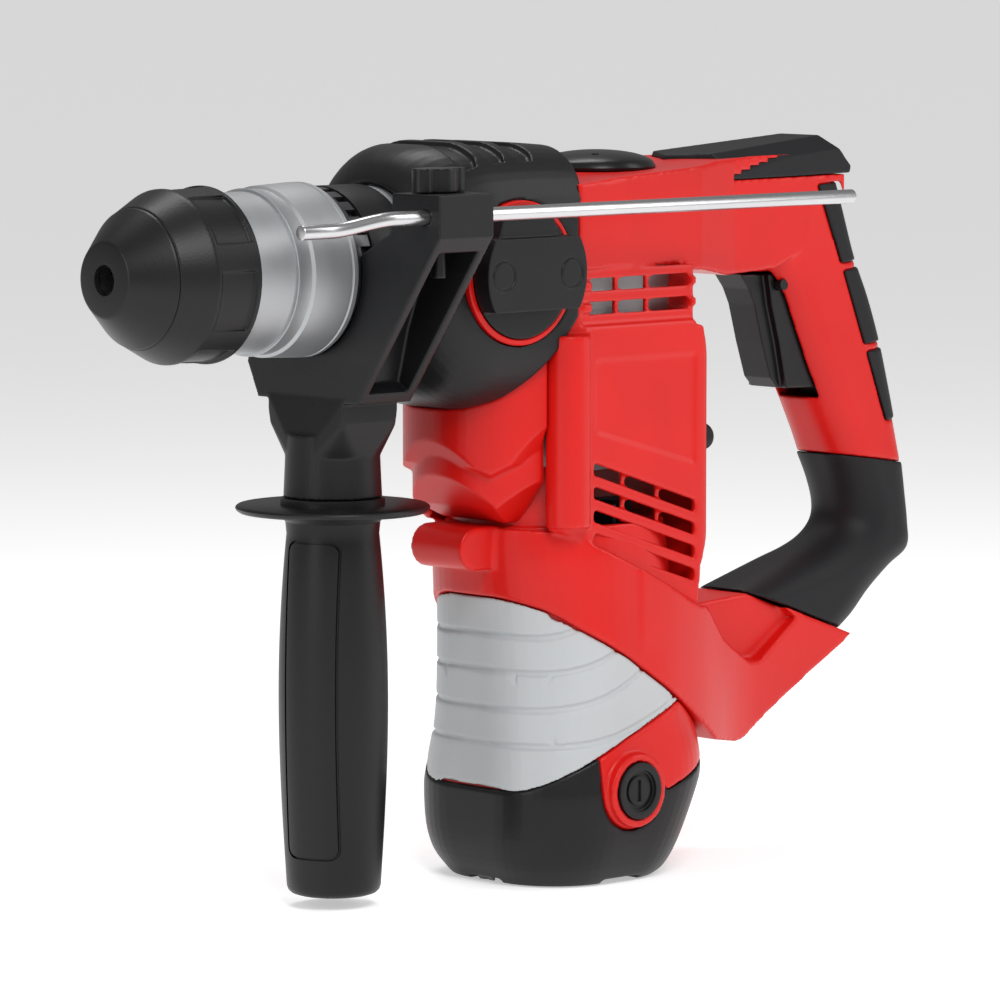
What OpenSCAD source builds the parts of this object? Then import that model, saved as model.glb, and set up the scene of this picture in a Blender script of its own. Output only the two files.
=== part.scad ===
// Rotary hammer with a vertical motor, a D-handle and a side handle.
// +X runs along the spindle towards the bit, +Z is up, +Y is the tool's left side.
// The origin is the mouth of the tool opening on the spindle axis.

/* [Tool opening] */
// Radius of the opening for the 10 mm shank
shank_r = 5.2; // [5.1:0.05:5.4]

/* [Chuck] */
// Largest radius of the grip sleeve
sleeve_r = 30.1; // [29:0.1:31]
// Rear rim of the grip sleeve
sleeve_back = 43.5; // [42:0.5:45]
// Rear rim of the silver sleeve
silver_back = 86.5; // [86:0.5:87]

/* [Side handle] */
// Distance of the handle axis behind the tool opening
handle_x = 100.7; // [100:0.1:102]
// Height of the flange below the spindle axis
flange_z = 82; // [80:1:84]
// Radius of the hand flange
flange_r = 33.6; // [30:0.2:36]
// Lower end of the grip below the spindle axis
grip_end = 216.6; // [205:0.5:218]

/* [Depth stop] */
// Radius of the depth rod
rod_r = 2.5; // [2.4:0.05:2.6]
// Distance of the rod from the middle plane
rod_y = 61; // [60:0.5:62]
// Height of the rod above the spindle axis
rod_z = 20; // [19:0.5:21]
// Rear end of the rod behind the tool opening
rod_back = 294; // [280:1:330]

/* [Body] */
// Distance of the motor axis behind the tool opening
motor_x = 204; // [203:0.5:205]
// Depth of the rest plane below the spindle axis
base_z = 220.5; // [219:0.5:222]
// Wall of the plastic shells
wall = 2.5; // [2:0.1:3]
// Centre of the mode selector behind the tool opening
selector_x = 154.5; // [153:0.5:156]
// Height of the mode selector
selector_z = -2.5; // [-4:0.5:0]

/* [Gears] */
// Teeth on the motor pinion
pinion_n = 10; // [10:2:10]
// Teeth on the intermediate gear and on the crank gear
wheel_n = 30; // [30:2:30]
// Teeth on the bevel pinion
bevel_n = 12; // [12:2:12]
// Teeth on the bevel gear of the spindle
crown_n = 30; // [30:2:30]

/* [Hidden] */
$fn = 64;
gear_gap = 20;                 // pinion axis to each large gear axis
bevel_x = motor_x - gear_gap;  // intermediate shaft, in front of the motor axis
crank_x = motor_x + gear_gap;  // crank shaft, behind the motor axis
throw = 8;                     // crank pin off its axis
conrod_len = 45;
collar_r = 21.5;
red = "crimson";
black = [0.12, 0.12, 0.13];
rubber = [0.17, 0.17, 0.18];
steel = [0.72, 0.73, 0.74];
cast = [0.63, 0.65, 0.66];

// ---- helpers ----

// Solid of revolution about the spindle axis; points are [radius, x].
module turned(pts) {
  rotate([0, 90, 0]) rotate_extrude($fn = 96) polygon(pts);
}

// Ring about the spindle axis from x = -a to x = -b.
module xring(ro, ri, a, b) {
  turned([[ri, -a], [ro, -a], [ro, -b], [ri, -b]]);
}

// Rod along X from x = -a to x = -b.
module xrod(r, a, b, y = 0, z = 0) {
  translate([-b, y, z]) rotate([0, 90, 0]) cylinder(r = r, h = b - a);
}

// Upright rod at distance x behind the opening.
module zrod(r, x, z0, z1, y = 0) {
  translate([-x, y, z0]) cylinder(r = r, h = z1 - z0);
}

// Upright ring at distance x behind the opening.
module zring(ro, ri, x, z0, z1) {
  difference() {
    zrod(ro, x, z0, z1);
    zrod(ri, x, z0 - 1, z1 + 1);
  }
}

// Rod along Y from y0 to y1.
module yrod(r, x, z, y0, y1) {
  translate([-x, y1, z]) rotate([90, 0, 0]) cylinder(r = r, h = y1 - y0);
}

// Side outline [x, z] given thickness from y0 to y1.
module side(y0, y1, pts) {
  translate([0, y1, 0]) rotate([90, 0, 0]) linear_extrude(y1 - y0) polygon(pts);
}

// Box between two corners.
module box(a, b) {
  translate(a) cube(b - a);
}

module both_sides() {
  children();
  mirror([0, 1, 0]) children();
}

// A free-form shell, taken as one mesh at its own size.
module moulded() {
  resize([0, 0, 0]) children();
}

module half(s) {
  intersection() {
    children();
    translate([-400, s > 0 ? 0 : -100, -300]) cube([300, 100, 400]);
  }
}

// Points of an arc.
function arc(cx, cy, r, a0, a1, n) =
  [for (i = [0:n]) let (a = a0 + (a1 - a0) * i / n) [cx + r * cos(a), cy + r * sin(a)]];

// Rounded rectangle about [0, 0]: half sizes a and b, corner radius r, 4 * (k + 1) points.
function rrect(a, b, r, k = 5) =
  [for (q = [0:3], i = [0:k])
    let (t = 90 * q + 90 * i / k,
         sx = q == 0 || q == 3 ? 1 : -1, sy = q < 2 ? 1 : -1)
      [sx * (a - r) + r * cos(t), sy * (b - r) + r * sin(t)]];

// Skin through rings of points with equal counts, closed at both ends.
module loft(rings) {
  n = len(rings[0]);
  m = len(rings);
  pts = [for (ring = rings, p = ring) p];
  sides = [for (j = [0:m - 2], i = [0:n - 1])
    let (k = (i + 1) % n) [j * n + i, (j + 1) * n + i, (j + 1) * n + k, j * n + k]];
  first = [for (i = [0:n - 1]) i];
  last = [for (i = [n - 1:-1:0]) (m - 1) * n + i];
  polyhedron(pts, concat(sides, [first, last]), convexity = 10);
}

// Level ring of the motor body: [z, front, back, half width, corner radius], inset g.
function level(s, g) =
  let (a = (s[2] - s[1]) / 2 - g, b = s[3] - g, r = min(s[4] - g, a, b))
    [for (p = rrect(a, b, max(r, 1))) [p[0] - (s[1] + s[2]) / 2, -p[1], s[0]]];

// Ring across the spindle axis: [x, half width, top, bottom, corner radius], inset g.
function across(s, g) =
  let (a = (s[2] + s[3]) / 2 - g, b = s[1] - g, r = min(s[4] - g, a, b))
    [for (p = rrect(a, b, max(r, 1))) [-s[0], p[1], p[0] + (s[2] - s[3]) / 2]];

// Ring across the handle from front point [fx, fz] to back point [bx, bz] with half
// width w and corner radius r, inset g.
function slice(s, g) =
  let (dx = s[2] - s[0], dz = s[3] - s[1], len = norm([dx, dz]), a = len / 2 - g,
       ux = dx / len, uz = dz / len, cx = (s[0] + s[2]) / 2, cz = (s[1] + s[3]) / 2)
    [for (p = rrect(a, s[4] - g, min(s[5] - g / 2, a, s[4] - g)))
      [-(cx + ux * p[0]), p[1], cz + uz * p[0]]];

// ---- shared outlines ----

motor_levels = [
  [-90, 165, 246, 38.5, 37], [-104, 164, 248, 39.5, 37], [-125, 165.5, 250, 40, 36],
  [-150, 166.8, 252, 41, 35], [-165, 166.8, 254, 41.5, 34], [-176, 166, 255.5, 42.2, 32],
  [-184, 165.2, 255, 42.7, 31], [-190, 165, 252.5, 42.8, 30], [-203, 165.2, 247, 42, 30],
  [-212, 167.2, 243.5, 39, 28], [-218, 171, 240.5, 35.5, 26], [-base_z, 173, 236.5, 33, 24]];

// Edge between the red band above and the soft band below, [x, z].
band_edge = [[-150, -118], [-166, -118.2], [-175, -122.5], [-185, -129.5], [-203, -140],
  [-229, -157]];

// Edge between the soft band above and the base below.
soft_edge = [[-229, -157], [-213, -163.8], [-202, -168], [-191, -173], [-180, -178.8],
  [-168, -185.5], [-160, -188.5], [-150, -189.5]];

// Top edge of the base cap behind the soft band, around the brush boss.
boss_edge = concat([[-262, -178], [-250, -179.4], [-221, -188.5]],
  arc(-204, -186.6, 14.5, 178, 353, 14));

module motor_skin(g) {
  loft([for (s = motor_levels) level(s, g)]);
}

// Handle slices from the bridge down the grip and round the elbow to the arm.
grip_slices = [
  [286, 1, 335, 31, 16, 9], [297, -6, 342, 13, 16.4, 10], [307, -16, 349, -5, 16.6, 11],
  [314, -30, 356.6, -21, 16.6, 11], [321, -45, 363, -38, 16.6, 11],
  [329, -60, 368, -55, 16.6, 11], [335, -71, 371.5, -69, 16.8, 11],
  [339, -78.5, 375, -84, 17, 11]];
elbow_slices = [
  [339, -78.5, 375, -84, 17, 11], [343.5, -88, 377.5, -96, 17, 12],
  [346.2, -97, 379.5, -108, 17.2, 13], [345.5, -103.5, 379, -117, 17.4, 13],
  [340, -109, 369, -123, 17.4, 12.5], [330, -113, 358, -131.5, 17.2, 12.5],
  [316, -117, 349, -139.5, 17.2, 12], [289, -125.5, 341, -144, 17.2, 11]];

module handle_skin(slices, g) {
  loft([for (s = slices) slice(s, g)]);
}

// ---- red shells ----

// Plan outline of the top body, [x, y], inset g.
function top_plan(g) = [[-183, -37 + g], [-183, 37 - g], [-205, 36.5 - g], [-250, 29.5 - g],
  [-275, 21.5 - g], [-300, 18 - g], [-339 + g, 14.5 - g], [-339 + g, -14.5 + g],
  [-300, -18 + g], [-275, -21.5 + g], [-250, -29.5 + g], [-205, -36.5 + g]];

// Side outline of the top body, [x, z], inset g.
function top_side(g) = [[-183, 27 - g], [-205, 29 - g], [-248, 31 - g], [-262, 32.5 - g],
  [-328, 34 - g], [-339 + g, 25 - g], [-341 + g, 12 + g], [-322, 1 + g], [-300, -8 + g],
  [-270, -9 + g], [-252, -6 + g], [-183, -3 + g]];

module top_block(g) {
  intersection() {
    side(-40, 40, top_side(g));
    translate([0, 0, -12]) linear_extrude(50) polygon(top_plan(g));
    // the long edges are bevelled along the roof and under the crease
    hull() {
      translate([0, 0, 1.8]) linear_extrude(23 - g) polygon(top_plan(g));
      translate([0, 0, -12]) linear_extrude(50) polygon(top_plan(g + 7));
    }
  }
}

// Plan outline of the lower body between the columns and the rear wall, inset g.
function body_plan(g) = concat([[-174, 33.2 - g]], [[-186, 37 - g]],
  arc(-242.5, 30.5, 6.5 - g, 90, 180, 6), arc(-242.5, -30.5, 6.5 - g, 180, 270, 6),
  [[-186, -37 + g], [-174, -33.2 + g]]);

module lower_block(g) {
  intersection() {
    translate([0, 0, -134]) linear_extrude(131) polygon(body_plan(g));
    // the rear wall slopes in above and below
    side(-60, 60, [[-170, -3], [-240 + g, -3], [-240 + g, -24], [-244 + g, -25],
      [-249 + g, -40], [-249 + g, -96], [-243 + g, -110], [-241 + g, -128 - g], [-207, -108 - g],
      [-178, -94.5 - g], [-170, -93.5 - g]]);
  }
}

// Red band that sweeps down from the front of the motor to the arm.
band_outline = concat([[-140, -92.5], [-178, -94], [-207, -107.5], [-247, -127.5],
  [-275, -127.5], [-275, -176], [-257, -174.2]],
  [for (i = [len(band_edge) - 1:-1:0]) band_edge[i] + [0, 0.5]]);

arm_outline = [[-209, -108.4], [-240, -124.2], [-262, -128], [-289, -126.2], [-341, -144.8], [-336.5, -148],
  [-281, -177.5], [-275, -178.3], [-256, -175], [-229, -156.5], [-209, -143.2]];

module band_and_arm() {
  intersection() {
    difference() {
      motor_skin(-1.2);
      motor_skin(2.2);
    }
    side(-60, 60, band_outline);
    box([-258, -60, -200], [-140, 60, -80]);
  }
  difference() {
    intersection() {
      side(-60, 60, arm_outline);
      linear_extrude(400, center = true) polygon([[-205, 41.9], [-222, 41.4], [-234, 39.4],
        [-246, 36], [-258, 31], [-268, 26.3], [-278, 22.6], [-290, 19.9], [-310, 18.2],
        [-345, 17.2], [-345, -17.2], [-310, -18.2], [-290, -19.9], [-278, -22.6],
        [-268, -26.3], [-258, -31], [-246, -36], [-234, -39.4], [-222, -41.4],
        [-205, -41.9]]);
    }
    motor_skin(2.2);
    // pocket above the slanted bar, on both sides
    both_sides() side(14, 50, [[-246, -124], [-262, -122], [-291, -122],
      [-311, -136.5], [-290.6, -150.4], [-284, -150], [-262, -138.5]]);
    // hollow of the arm
    side(-9.5, 9.5, [[-254, -140], [-290, -133], [-330, -146], [-280, -173], [-258, -171]]);
  }
}

// Half-round stub across the front of the band.
module front_stub() {
  difference() {
    side(-13, 13, concat(arc(-156, -100.3, 7.6, -90, 90, 20),
      [[-166.5, -92.7], [-166.5, -107.9]]));
    motor_skin(2.2);
  }
}

module columns() {
  both_sides() {
    intersection() {
      zrod(8, 180, -92.5, -25.3, 34);
      box([-200, 29, -93], [-172, 60, -25]);
    }
  }
}

upper_vents = [-8.4, -16.5];      // middle heights of the two upper slots
louver_step = 8.2;                // spacing of the sloping lower louvers
louver_fall = 0.33;               // drop per millimetre towards the rear

module upper_vent_cuts() {
  for (z = upper_vents) {
    box([-238, 24, z - 2.1], [-189, 60, z + 2.1]);
  }
  // the fins step in behind the roof line
  for (z = [-4.6, -12.4, -20]) {
    box([-252, 35.4, z - 2.6], [-184, 60, z + 2.2]);
  }
}

module upper_vent_posts() {
  for (x = [203, 218]) {
    box([-x - 0.9, 32.5, -23], [-x + 0.9, 34.8, -3]);
  }
}

module panel_cuts() {
  // shallow name field
  side(36.3, 60, [[-190.5, -34.5], [-240, -34.5], [-240, -74], [-190.5, -60]]);
  // sloping slots
  for (i = [0:3]) {
    z = -70.5 - i * louver_step;
    side(30, 60, [[-190, z], [-190, z - 4.2], [-240, z - 4.2 - 50 * louver_fall],
      [-240, z - 50 * louver_fall]]);
  }
}

module louver_posts() {
  for (x = [206, 223]) {
    box([-x - 1, 33.2, -92.6], [-x + 1, 35, -66]);
  }
}

// Pocket for the trigger in the front of the grip.
module trigger_pocket() {
  side(-10.4, 10.4, [[-285, -4.5], [-300, -10.4], [-312, -7.5], [-324, -10], [-341, -30],
    [-349, -60], [-332, -57.5], [-318, -56.4], [-300, -50], [-280, -20]]);
}

module housing_shell() {
  moulded() difference() {
    union() {
      difference() {
        union() {
          top_block(0);
          lower_block(0);
          columns();
        }
        top_block(wall);
        lower_block(wall);
        box([-247, -27, -4.8], [-182, 27, 2]);
        box([-238.6, -27, -25], [-182, 27, 2]);
        zrod(19, 226, 10, 60);
        zrod(33.8, motor_x, -130, -104);
        both_sides() {
          upper_vent_cuts();
          panel_cuts();
        }
      }
      both_sides() {
        upper_vent_posts();
        louver_posts();
      }
      difference() {
        handle_skin(grip_slices, 0);
        handle_skin(grip_slices, 3);
        top_block(wall);
      }
      band_and_arm();
      front_stub();
      zring(22, 18.2, 226, 22, 29.6);
    }
    trigger_pocket();
    yrod(2.05, 309, -14.5, -13.2, 13.2);
    zrod(21.5, 226, 29.7, 40);
    translate([-0.25, 0, 0]) hood_solid(-0.25);
    grip_pad_cuts();
    top_pad_seat();
    for (p = housing_screw_places) {
      yrod(2.2, p[0], p[1], -60, 6, $fn = 24);
      yrod(3.9, p[0], p[1], -60, -p[2], $fn = 24);
    }
  }
}

module housing_left() {
  color(red) half(1) housing_shell();
}

module housing_right() {
  color(red) half(-1) housing_shell();
}

// [x, z, head seat y]
housing_screw_places = [[256, 10, 23], [322, 12, 12.5], [346, -67, 13.4], [318, -146, 14.5],
  [272, -168, 19.5]];

module housing_screws() {
  color(steel) for (p = housing_screw_places) {
    yrod(1.9, p[0], p[1], -p[2], 5.5);
    difference() {
      yrod(3.5, p[0], p[1], -p[2] - 2.4, -p[2] - 0.1);
      translate([-p[0], -p[2] - 1.4, p[1]]) rotate([90, 0, 0]) cylinder(r = 1.7, h = 1.4, $fn = 6);
    }
  }
}

// ---- chin and motor housing ----

chin_x = 178;
chin_r = 33.3;

// Chin body: a round front with a bevelled keel in two steps.
module chin_block() {
  intersection() {
    zrod(chin_r, chin_x, -92, -26);
    union() {
      intersection() {
        side(-60, 60, [[-100, 0], [-100, -58], [-143.5, -60], [-150, -71], [-163, -80],
          [-178, -82], [-178, 0]]);
        rotate([90, 0, 90]) translate([0, 0, -220]) linear_extrude(120) polygon(
          [[-60, 0], [-60, -56], [-33, -56], [-27, -70], [-14, -80], [14, -80], [27, -70],
           [33, -56], [60, -56], [60, 0]]);
      }
      intersection() {
        zrod(chin_r - 3.4, chin_x, -91.5, -50);
        side(-60, 60, [[-140, -40], [-146, -72], [-158, -86], [-168, -92], [-178, -92],
          [-178, -40]]);
        rotate([90, 0, 90]) translate([0, 0, -220]) linear_extrude(120) polygon(
          [[-31, -40], [-31, -74], [-16, -92], [16, -92], [31, -74], [31, -40]]);
      }
    }
    box([-173.7, -60, -100], [-130, 60, 0]);
  }
}

module chin_cover() {
  color(red) moulded() difference() {
    chin_block();
    translate([0, 0, -0.25]) hood_solid(-0.25);
    zrod(chin_r - wall, chin_x, -56, 0);
    zrod(22.4, chin_x, -75.8, 0);
    // room for the two columns
    both_sides() box([-175, 28.8, -95], [-171.7, 60, 0]);
  }
}

module brush_bosses() {
  both_sides() yrod(13, motor_x, -186.6, 36, 45.6);
}

module motor_housing() {
  color(red) moulded() difference() {
    union() {
      difference() {
        intersection() {
          motor_skin(2.3);
          box([-300, -60, -214], [-100, 60, -93]);
        }
        // the upper part stands inside the lower body
        difference() {
          side(-60, 60, [[-173, -90], [-173, -93.9], [-178, -94.9], [-207, -108.4],
            [-241, -128.6], [-262, -128.6], [-262, -90]]);
          lower_block(wall + 0.2);
        }
      }
      // exposed panel around the brush bosses
      intersection() {
        motor_skin(0);
        side(-60, 60, concat([[-229.5, -157.6], [-213, -164.4], [-202, -168.6],
          [-191.5, -173.6], [-189.6, -174.6]], arc(-204, -186.6, 14, 353, 178, 14),
          [[-221, -188], [-250, -178.9], [-262, -177.6], [-262, -176.6],
           [-257, -176.2]]));
      }
      brush_bosses();
    }
    zrod(32.4, motor_x, -176, -80);
    zrod(30, motor_x, -204, -100);
    zrod(11.02, motor_x, -212, -200);
    both_sides() {
      yrod(7.6, motor_x, -186.6, 20, 60);
      yrod(10.3, motor_x, -186.6, 43, 60);
    }
    for (p = base_screw_places) zrod(2.05, p[0], -220, -196, p[1]);
  }
}

module soft_band() {
  color([0.72, 0.74, 0.75]) moulded() intersection() {
    difference() {
      motor_skin(0);
      motor_skin(2.3);
    }
    side(-60, 60, concat([for (p = band_edge) p - [0, 0.1]],
      [for (p = soft_edge) p + [0, 0.2]]));
  }
}

base_screw_places = [[172, 0], [241, 19], [241, -19]];

module base_cap() {
  color(black) moulded() difference() {
    intersection() {
      motor_skin(0);
      side(-60, 60, concat(boss_edge, [[-189.4, -186], [-189, -174.6]],
        [for (i = [4:7]) soft_edge[i]], [[-150, -230], [-262, -230]]));
    }
    intersection() {
      motor_skin(2.2);
      box([-300, -60, -base_z + 4], [-100, 60, -150]);
    }
    both_sides() yrod(14.2, motor_x, -186.6, 30, 60);
    // notches between the feet
    box([-215, -60, -base_z - 1], [-197, 60, -base_z + 1.6]);
    box([-260, -8, -base_z - 1], [-150, 8, -base_z + 1.6]);
    for (p = base_screw_places) {
      zrod(2.2, p[0], -230, -200, p[1]);
      zrod(4, p[0], -230, -base_z + 1.8, p[1]);
    }
  }
}

module base_screws() {
  color(steel) for (p = base_screw_places) {
    zrod(1.95, p[0], -base_z + 1.7, -198, p[1]);
    difference() {
      zrod(3.7, p[0], -base_z + 0.3, -base_z + 1.8, p[1]);
      translate([-p[0], p[1], -base_z]) cylinder(r = 1.8, h = 1.2, $fn = 6);
    }
  }
}

// ---- hood over the gear case ----

hood_rings = [[117.2, 30, 30, 30, 29.9], [118.5, 32.4, 32.6, 32.4, 31.5],
  [121.5, 34.3, 36.3, 36, 32], [126, 35.6, 39.4, 41, 31], [132, 36.4, 41, 46, 29],
  [142, 36.9, 42, 50, 27], [152, 37, 42.2, 51, 26], [170, 37.2, 41.4, 51, 24],
  [187, 37.4, 40, 50, 22]];

// Side outline that trims the hood, [x, z].
hood_trim = [[-110, 60], [-186, 60], [-184.6, 23.4], [-182.2, 19], [-182.2, -19],
  [-172.7, -30], [-163, -39.5], [-156, -46], [-148, -50.2], [-140, -51.5], [-110, -60]];

module hood_skin(g) {
  loft([for (s = hood_rings) across(s, g)]);
}

module hood_solid(g) {
  intersection() {
    hood_skin(g);
    side(-60, 60, hood_trim);
  }
}

// Rectangle with its corners cut, for the rib pockets on the roof.
module rib_pocket(x0, x1) {
  translate([0, 0, 60]) mirror([0, 0, 1]) linear_extrude(60 - 39.2) polygon([
    [-x0, -17], [-x0, 17], [-x0 - 2, 20], [-x1 + 2, 20], [-x1, 17], [-x1, -17],
    [-x1 + 2, -20], [-x0 - 2, -20]]);
}

module front_hood() {
  color(black) moulded() difference() {
    hood_solid(0);
    intersection() {
      hood_skin(2.6);
      box([-200, -60, -60], [-119.4, 60, 60]);
    }
    xrod(28.2, 100, 125);
    yrod(25.2, selector_x, selector_z, 30, 60);
    for (x = [138, 149.5, 161]) {
      rib_pocket(x, x + 8);
    }
  }
}

// ---- gear case ----

module case_plan(r, y, back) {
  translate([-chin_x, 0]) circle(r);
  translate([-back, -y]) square([back - chin_x, 2 * y]);
}

module gear_case() {
  color(cast) difference() {
    union() {
      xrod(collar_r, 95.2, 116);
      xrod(27.5, 112.8, 126);
      xrod(29.3, 125, 183);
      translate([0, 0, -68]) linear_extrude(27) case_plan(22, 22, 244.5);
      translate([0, 0, -42]) linear_extrude(24) case_plan(22, 22, 238.4);
      box([-238.4, -25, -34], [-160, 25, 20]);
      box([-244, -25, -4.6], [-230, 25, 20]);
      zrod(17.8, 226, 19, 28.6);
      yrod(21, selector_x, selector_z, 20, 32.6);
    }
    xrod(18.5, 90, 110.4);
    xrod(15.6, 100, 140);
    xrod(26, 128, 147);
    xrod(19, 146, 157);
    xrod(16, 150, 185);
    xrod(26, 157.6, 180.4);
    xrod(16.6, 170, 200);
    translate([0, 0, -69]) linear_extrude(28) case_plan(19.5, 19.5, 242);
    zrod(12, bevel_x, -34, -10);
    box([-236.6, -21.7, -33], [-198, 21.7, 17]);
    box([-241, -21.7, -3.2], [-230, 21.7, 17]);
    box([-200, -11, -33], [-184, 11, 0]);
    zrod(8.02, bevel_x, -42, -33);
    zrod(9.02, crank_x, -42, -33);
    zrod(15, 226, 10, 40);
    yrod(8.1, selector_x, selector_z, 28, 40);
  }
}

module gear_plate() {
  color(cast) difference() {
    translate([0, 0, -75]) linear_extrude(6.9) case_plan(22, 22, 244.5);
    zrod(9.02, motor_x, -80, -60);
    zrod(8.02, bevel_x, -73, -60);
    zrod(9.02, crank_x, -73, -60);
  }
}

module shaft_bearings() {
  color(steel) {
    zring(8, 4.03, bevel_x, -40.8, -34.2);
    zring(8, 4.03, bevel_x, -72.9, -68.2);
    zring(9, 5.03, crank_x, -40.8, -34.2);
    zring(9, 5.03, crank_x, -72.9, -68.2);
    zring(9, 4.03, motor_x, -74.9, -69);
    zring(11, 4.03, motor_x, -211.9, -205);
  }
}

module spindle_bearings() {
  color(steel) {
    xring(18.48, 15.05, 100.2, 110.2);
    xring(18.98, 15.05, 147.2, 156.8);
  }
}

// ---- gears ----

// Point on an involute of base radius rb at roll angle t in degrees.
function inv_point(rb, t) =
  let (k = t * PI / 180) [rb * (cos(t) + k * sin(t)), rb * (sin(t) - k * cos(t))];
function turn(p, a) = [p[0] * cos(a) - p[1] * sin(a), p[0] * sin(a) + p[1] * cos(a)];

// Spur tooth outline for n teeth of module 1, thinned for backlash.
function tooth(n, thin = 0.86) =
  let (r = n / 2, rb = r * cos(20), ro = r + 0.92,
       tp = acos(rb / r) * 0 + sqrt(pow(r / rb, 2) - 1) * 180 / PI,
       tmax = sqrt(pow(ro / rb, 2) - 1) * 180 / PI,
       pp = inv_point(rb, tp), half_a = 90 / n * thin,
       off = half_a + atan2(pp[1], pp[0]),
       flank = [for (i = [0:4]) turn(inv_point(rb, tmax * i / 4), -off)],
       root = r - 1.2)
    concat([turn([root, 0], -off - 0.5)], flank,
      [for (i = [4:-1:0]) [flank[i][0], -flank[i][1]]], [turn([root, 0], off + 0.5)],
      [[root * 0.7, 0]]);

module spur(n, h, phase = 0) {
  linear_extrude(h) {
    circle(n / 2 - 1.15);
    for (i = [0:n - 1]) {
      rotate(phase + i * 360 / n) polygon(tooth(n));
    }
  }
}

// Bevel teeth: apex at the origin, large end towards +Z, cone distance d, face f.
module bevel_teeth(n, angle, d, f, phase) {
  m = 2 * d * sin(angle) / n;
  function at(rho, up, along) =
    let (s = rho / d)
      [rho * sin(angle) + up * m * s * cos(angle), along * m * s,
       rho * cos(angle) - up * m * s * sin(angle)];
  pts = [for (rho = [d, d - f]) for (q = [[-1.5, -1.02], [0.7, -0.36], [0.7, 0.36], [-1.5, 1.02]])
    at(rho, q[0], q[1])];
  for (i = [0:n - 1]) {
    rotate(phase + i * 360 / n) polyhedron(pts, [[3, 2, 1, 0], [4, 5, 6, 7], [0, 1, 5, 4],
      [1, 2, 6, 5], [2, 3, 7, 6], [3, 0, 4, 7]]);
  }
}

bevel_r = 9;                                    // pitch radius of the bevel pinion
crown_r = bevel_r * crown_n / bevel_n;          // pitch radius of the spindle gear
cone_d = norm([bevel_r, crown_r]);
bevel_angle = atan2(bevel_r, crown_r);
bevel_face = 5.6;

// Root cone under the bevel teeth, [radius, height].
function root_cone(angle, m, back) =
  let (o = [cone_d * sin(angle) - 1.25 * m * cos(angle), cone_d * cos(angle) + 1.25 * m * sin(angle)],
       k = (cone_d - bevel_face) / cone_d)
    [[0, o[1] * k], o * k, o, [o[0], o[1] + back], [0, o[1] + back]];

module bevel_shaft() {
  m = 2 * bevel_r / bevel_n;
  color(steel) {
    zrod(4, bevel_x, -72.7, -24);
    translate([-bevel_x, 0, 0]) mirror([0, 0, 1]) {
      bevel_teeth(bevel_n, bevel_angle, cone_d, bevel_face, 0);
      rotate_extrude() polygon(root_cone(bevel_angle, m, 1.5));
    }
    translate([-bevel_x, 0, -64]) spur(wheel_n, 8, 6);
    zrod(6.5, bevel_x, -67.8, -63);
  }
}

module crank_gear() {
  color(steel) difference() {
    translate([-crank_x, 0, -64]) spur(wheel_n, 8, 6);
    zrod(5.06, crank_x, -70, -50);
  }
}

module spindle_gear() {
  m = 2 * crown_r / crown_n;
  color(steel) difference() {
    union() {
      translate([-bevel_x, 0, 0]) rotate([0, 90, 0]) {
        bevel_teeth(crown_n, 90 - bevel_angle, cone_d, bevel_face, 6);
        rotate_extrude() polygon(root_cone(90 - bevel_angle, m, 4));
      }
    }
    xrod(15.02, 150, 190);
  }
}

// ---- hammer mechanism ----

module crank_shaft() {
  color(steel) {
    zrod(5, crank_x, -72.7, -13);
    zrod(12.3, crank_x, -14, -8);
    zrod(4, crank_x + throw, -8.5, 6);
    zrod(7.5, crank_x, -55.7, -50);
  }
}

wrist_x = crank_x + throw - conrod_len;

module connecting_rod() {
  color(steel) difference() {
    union() {
      zrod(6.4, crank_x + throw, -2.9, 4);
      box([-crank_x - throw, -3.5, -2.9], [-wrist_x, 3.5, 2.9]);
      yrod(5.6, wrist_x, 0, -4, 4);
    }
    zrod(4.04, crank_x + throw, -10, 10);
    yrod(3.04, wrist_x, 0, -10, 10);
  }
}

module wrist_pin() {
  color(steel) yrod(3, wrist_x, 0, -10.5, 10.5);
}

module piston() {
  color(cast) difference() {
    xrod(11.94, wrist_x - 11, wrist_x + 9);
    xrod(8.5, wrist_x - 7, wrist_x + 12);
    yrod(3.01, wrist_x, 0, -20, 20);
  }
}

module striker() {
  color(steel) turned([[0, -140], [9, -140], [11.94, -142], [11.94, -166], [10, -167], [0, -167]]);
}

module impact_bolt() {
  color(steel) turned([[0, -66], [4, -66], [4.9, -67], [4.9, -72], [7.42, -76], [7.42, -94],
    [5.6, -97], [5.6, -106], [0, -106]]);
}

module spindle() {
  color(steel) difference() {
    turned([[shank_r, -2.4], [8.2, -2.4], [10.5, -9], [10.5, -44], [13.5, -46],
      [13.5, -96], [15, -98], [15, -198], [12, -198], [12, -110], [7.5, -98], [7.5, -66],
      [shank_r, -63]]);
    // slots for the two locking balls
    box([-30, -2.7, 4], [-22.4, 2.7, 12]);
    box([-30, -2.7, -12], [-22.4, 2.7, -4]);
  }
}

module locking_balls() {
  color(steel) for (s = [-1, 1]) {
    translate([-26, 0, s * 7.9]) sphere(r = 2.6, $fn = 32);
  }
}

// Coil spring along +Z from the origin.
module coil(r, wire, pitch, turns, steps = 20) {
  n = turns * steps;
  rings = [for (i = [0:n])
    let (a = 360 * i / steps, z = pitch * i / steps)
      [for (k = [0:5]) let (t = 60 * k)
        [(r + wire * cos(t)) * cos(a), (r + wire * cos(t)) * sin(a), z + wire * sin(t)]]];
  loft(rings);
}

module sleeve_spring() {
  color(steel) translate([-43.6, 0, 0]) rotate([0, 90, 0]) coil(14, 0.8, 5, 5);
}

// ---- chuck ----

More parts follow.
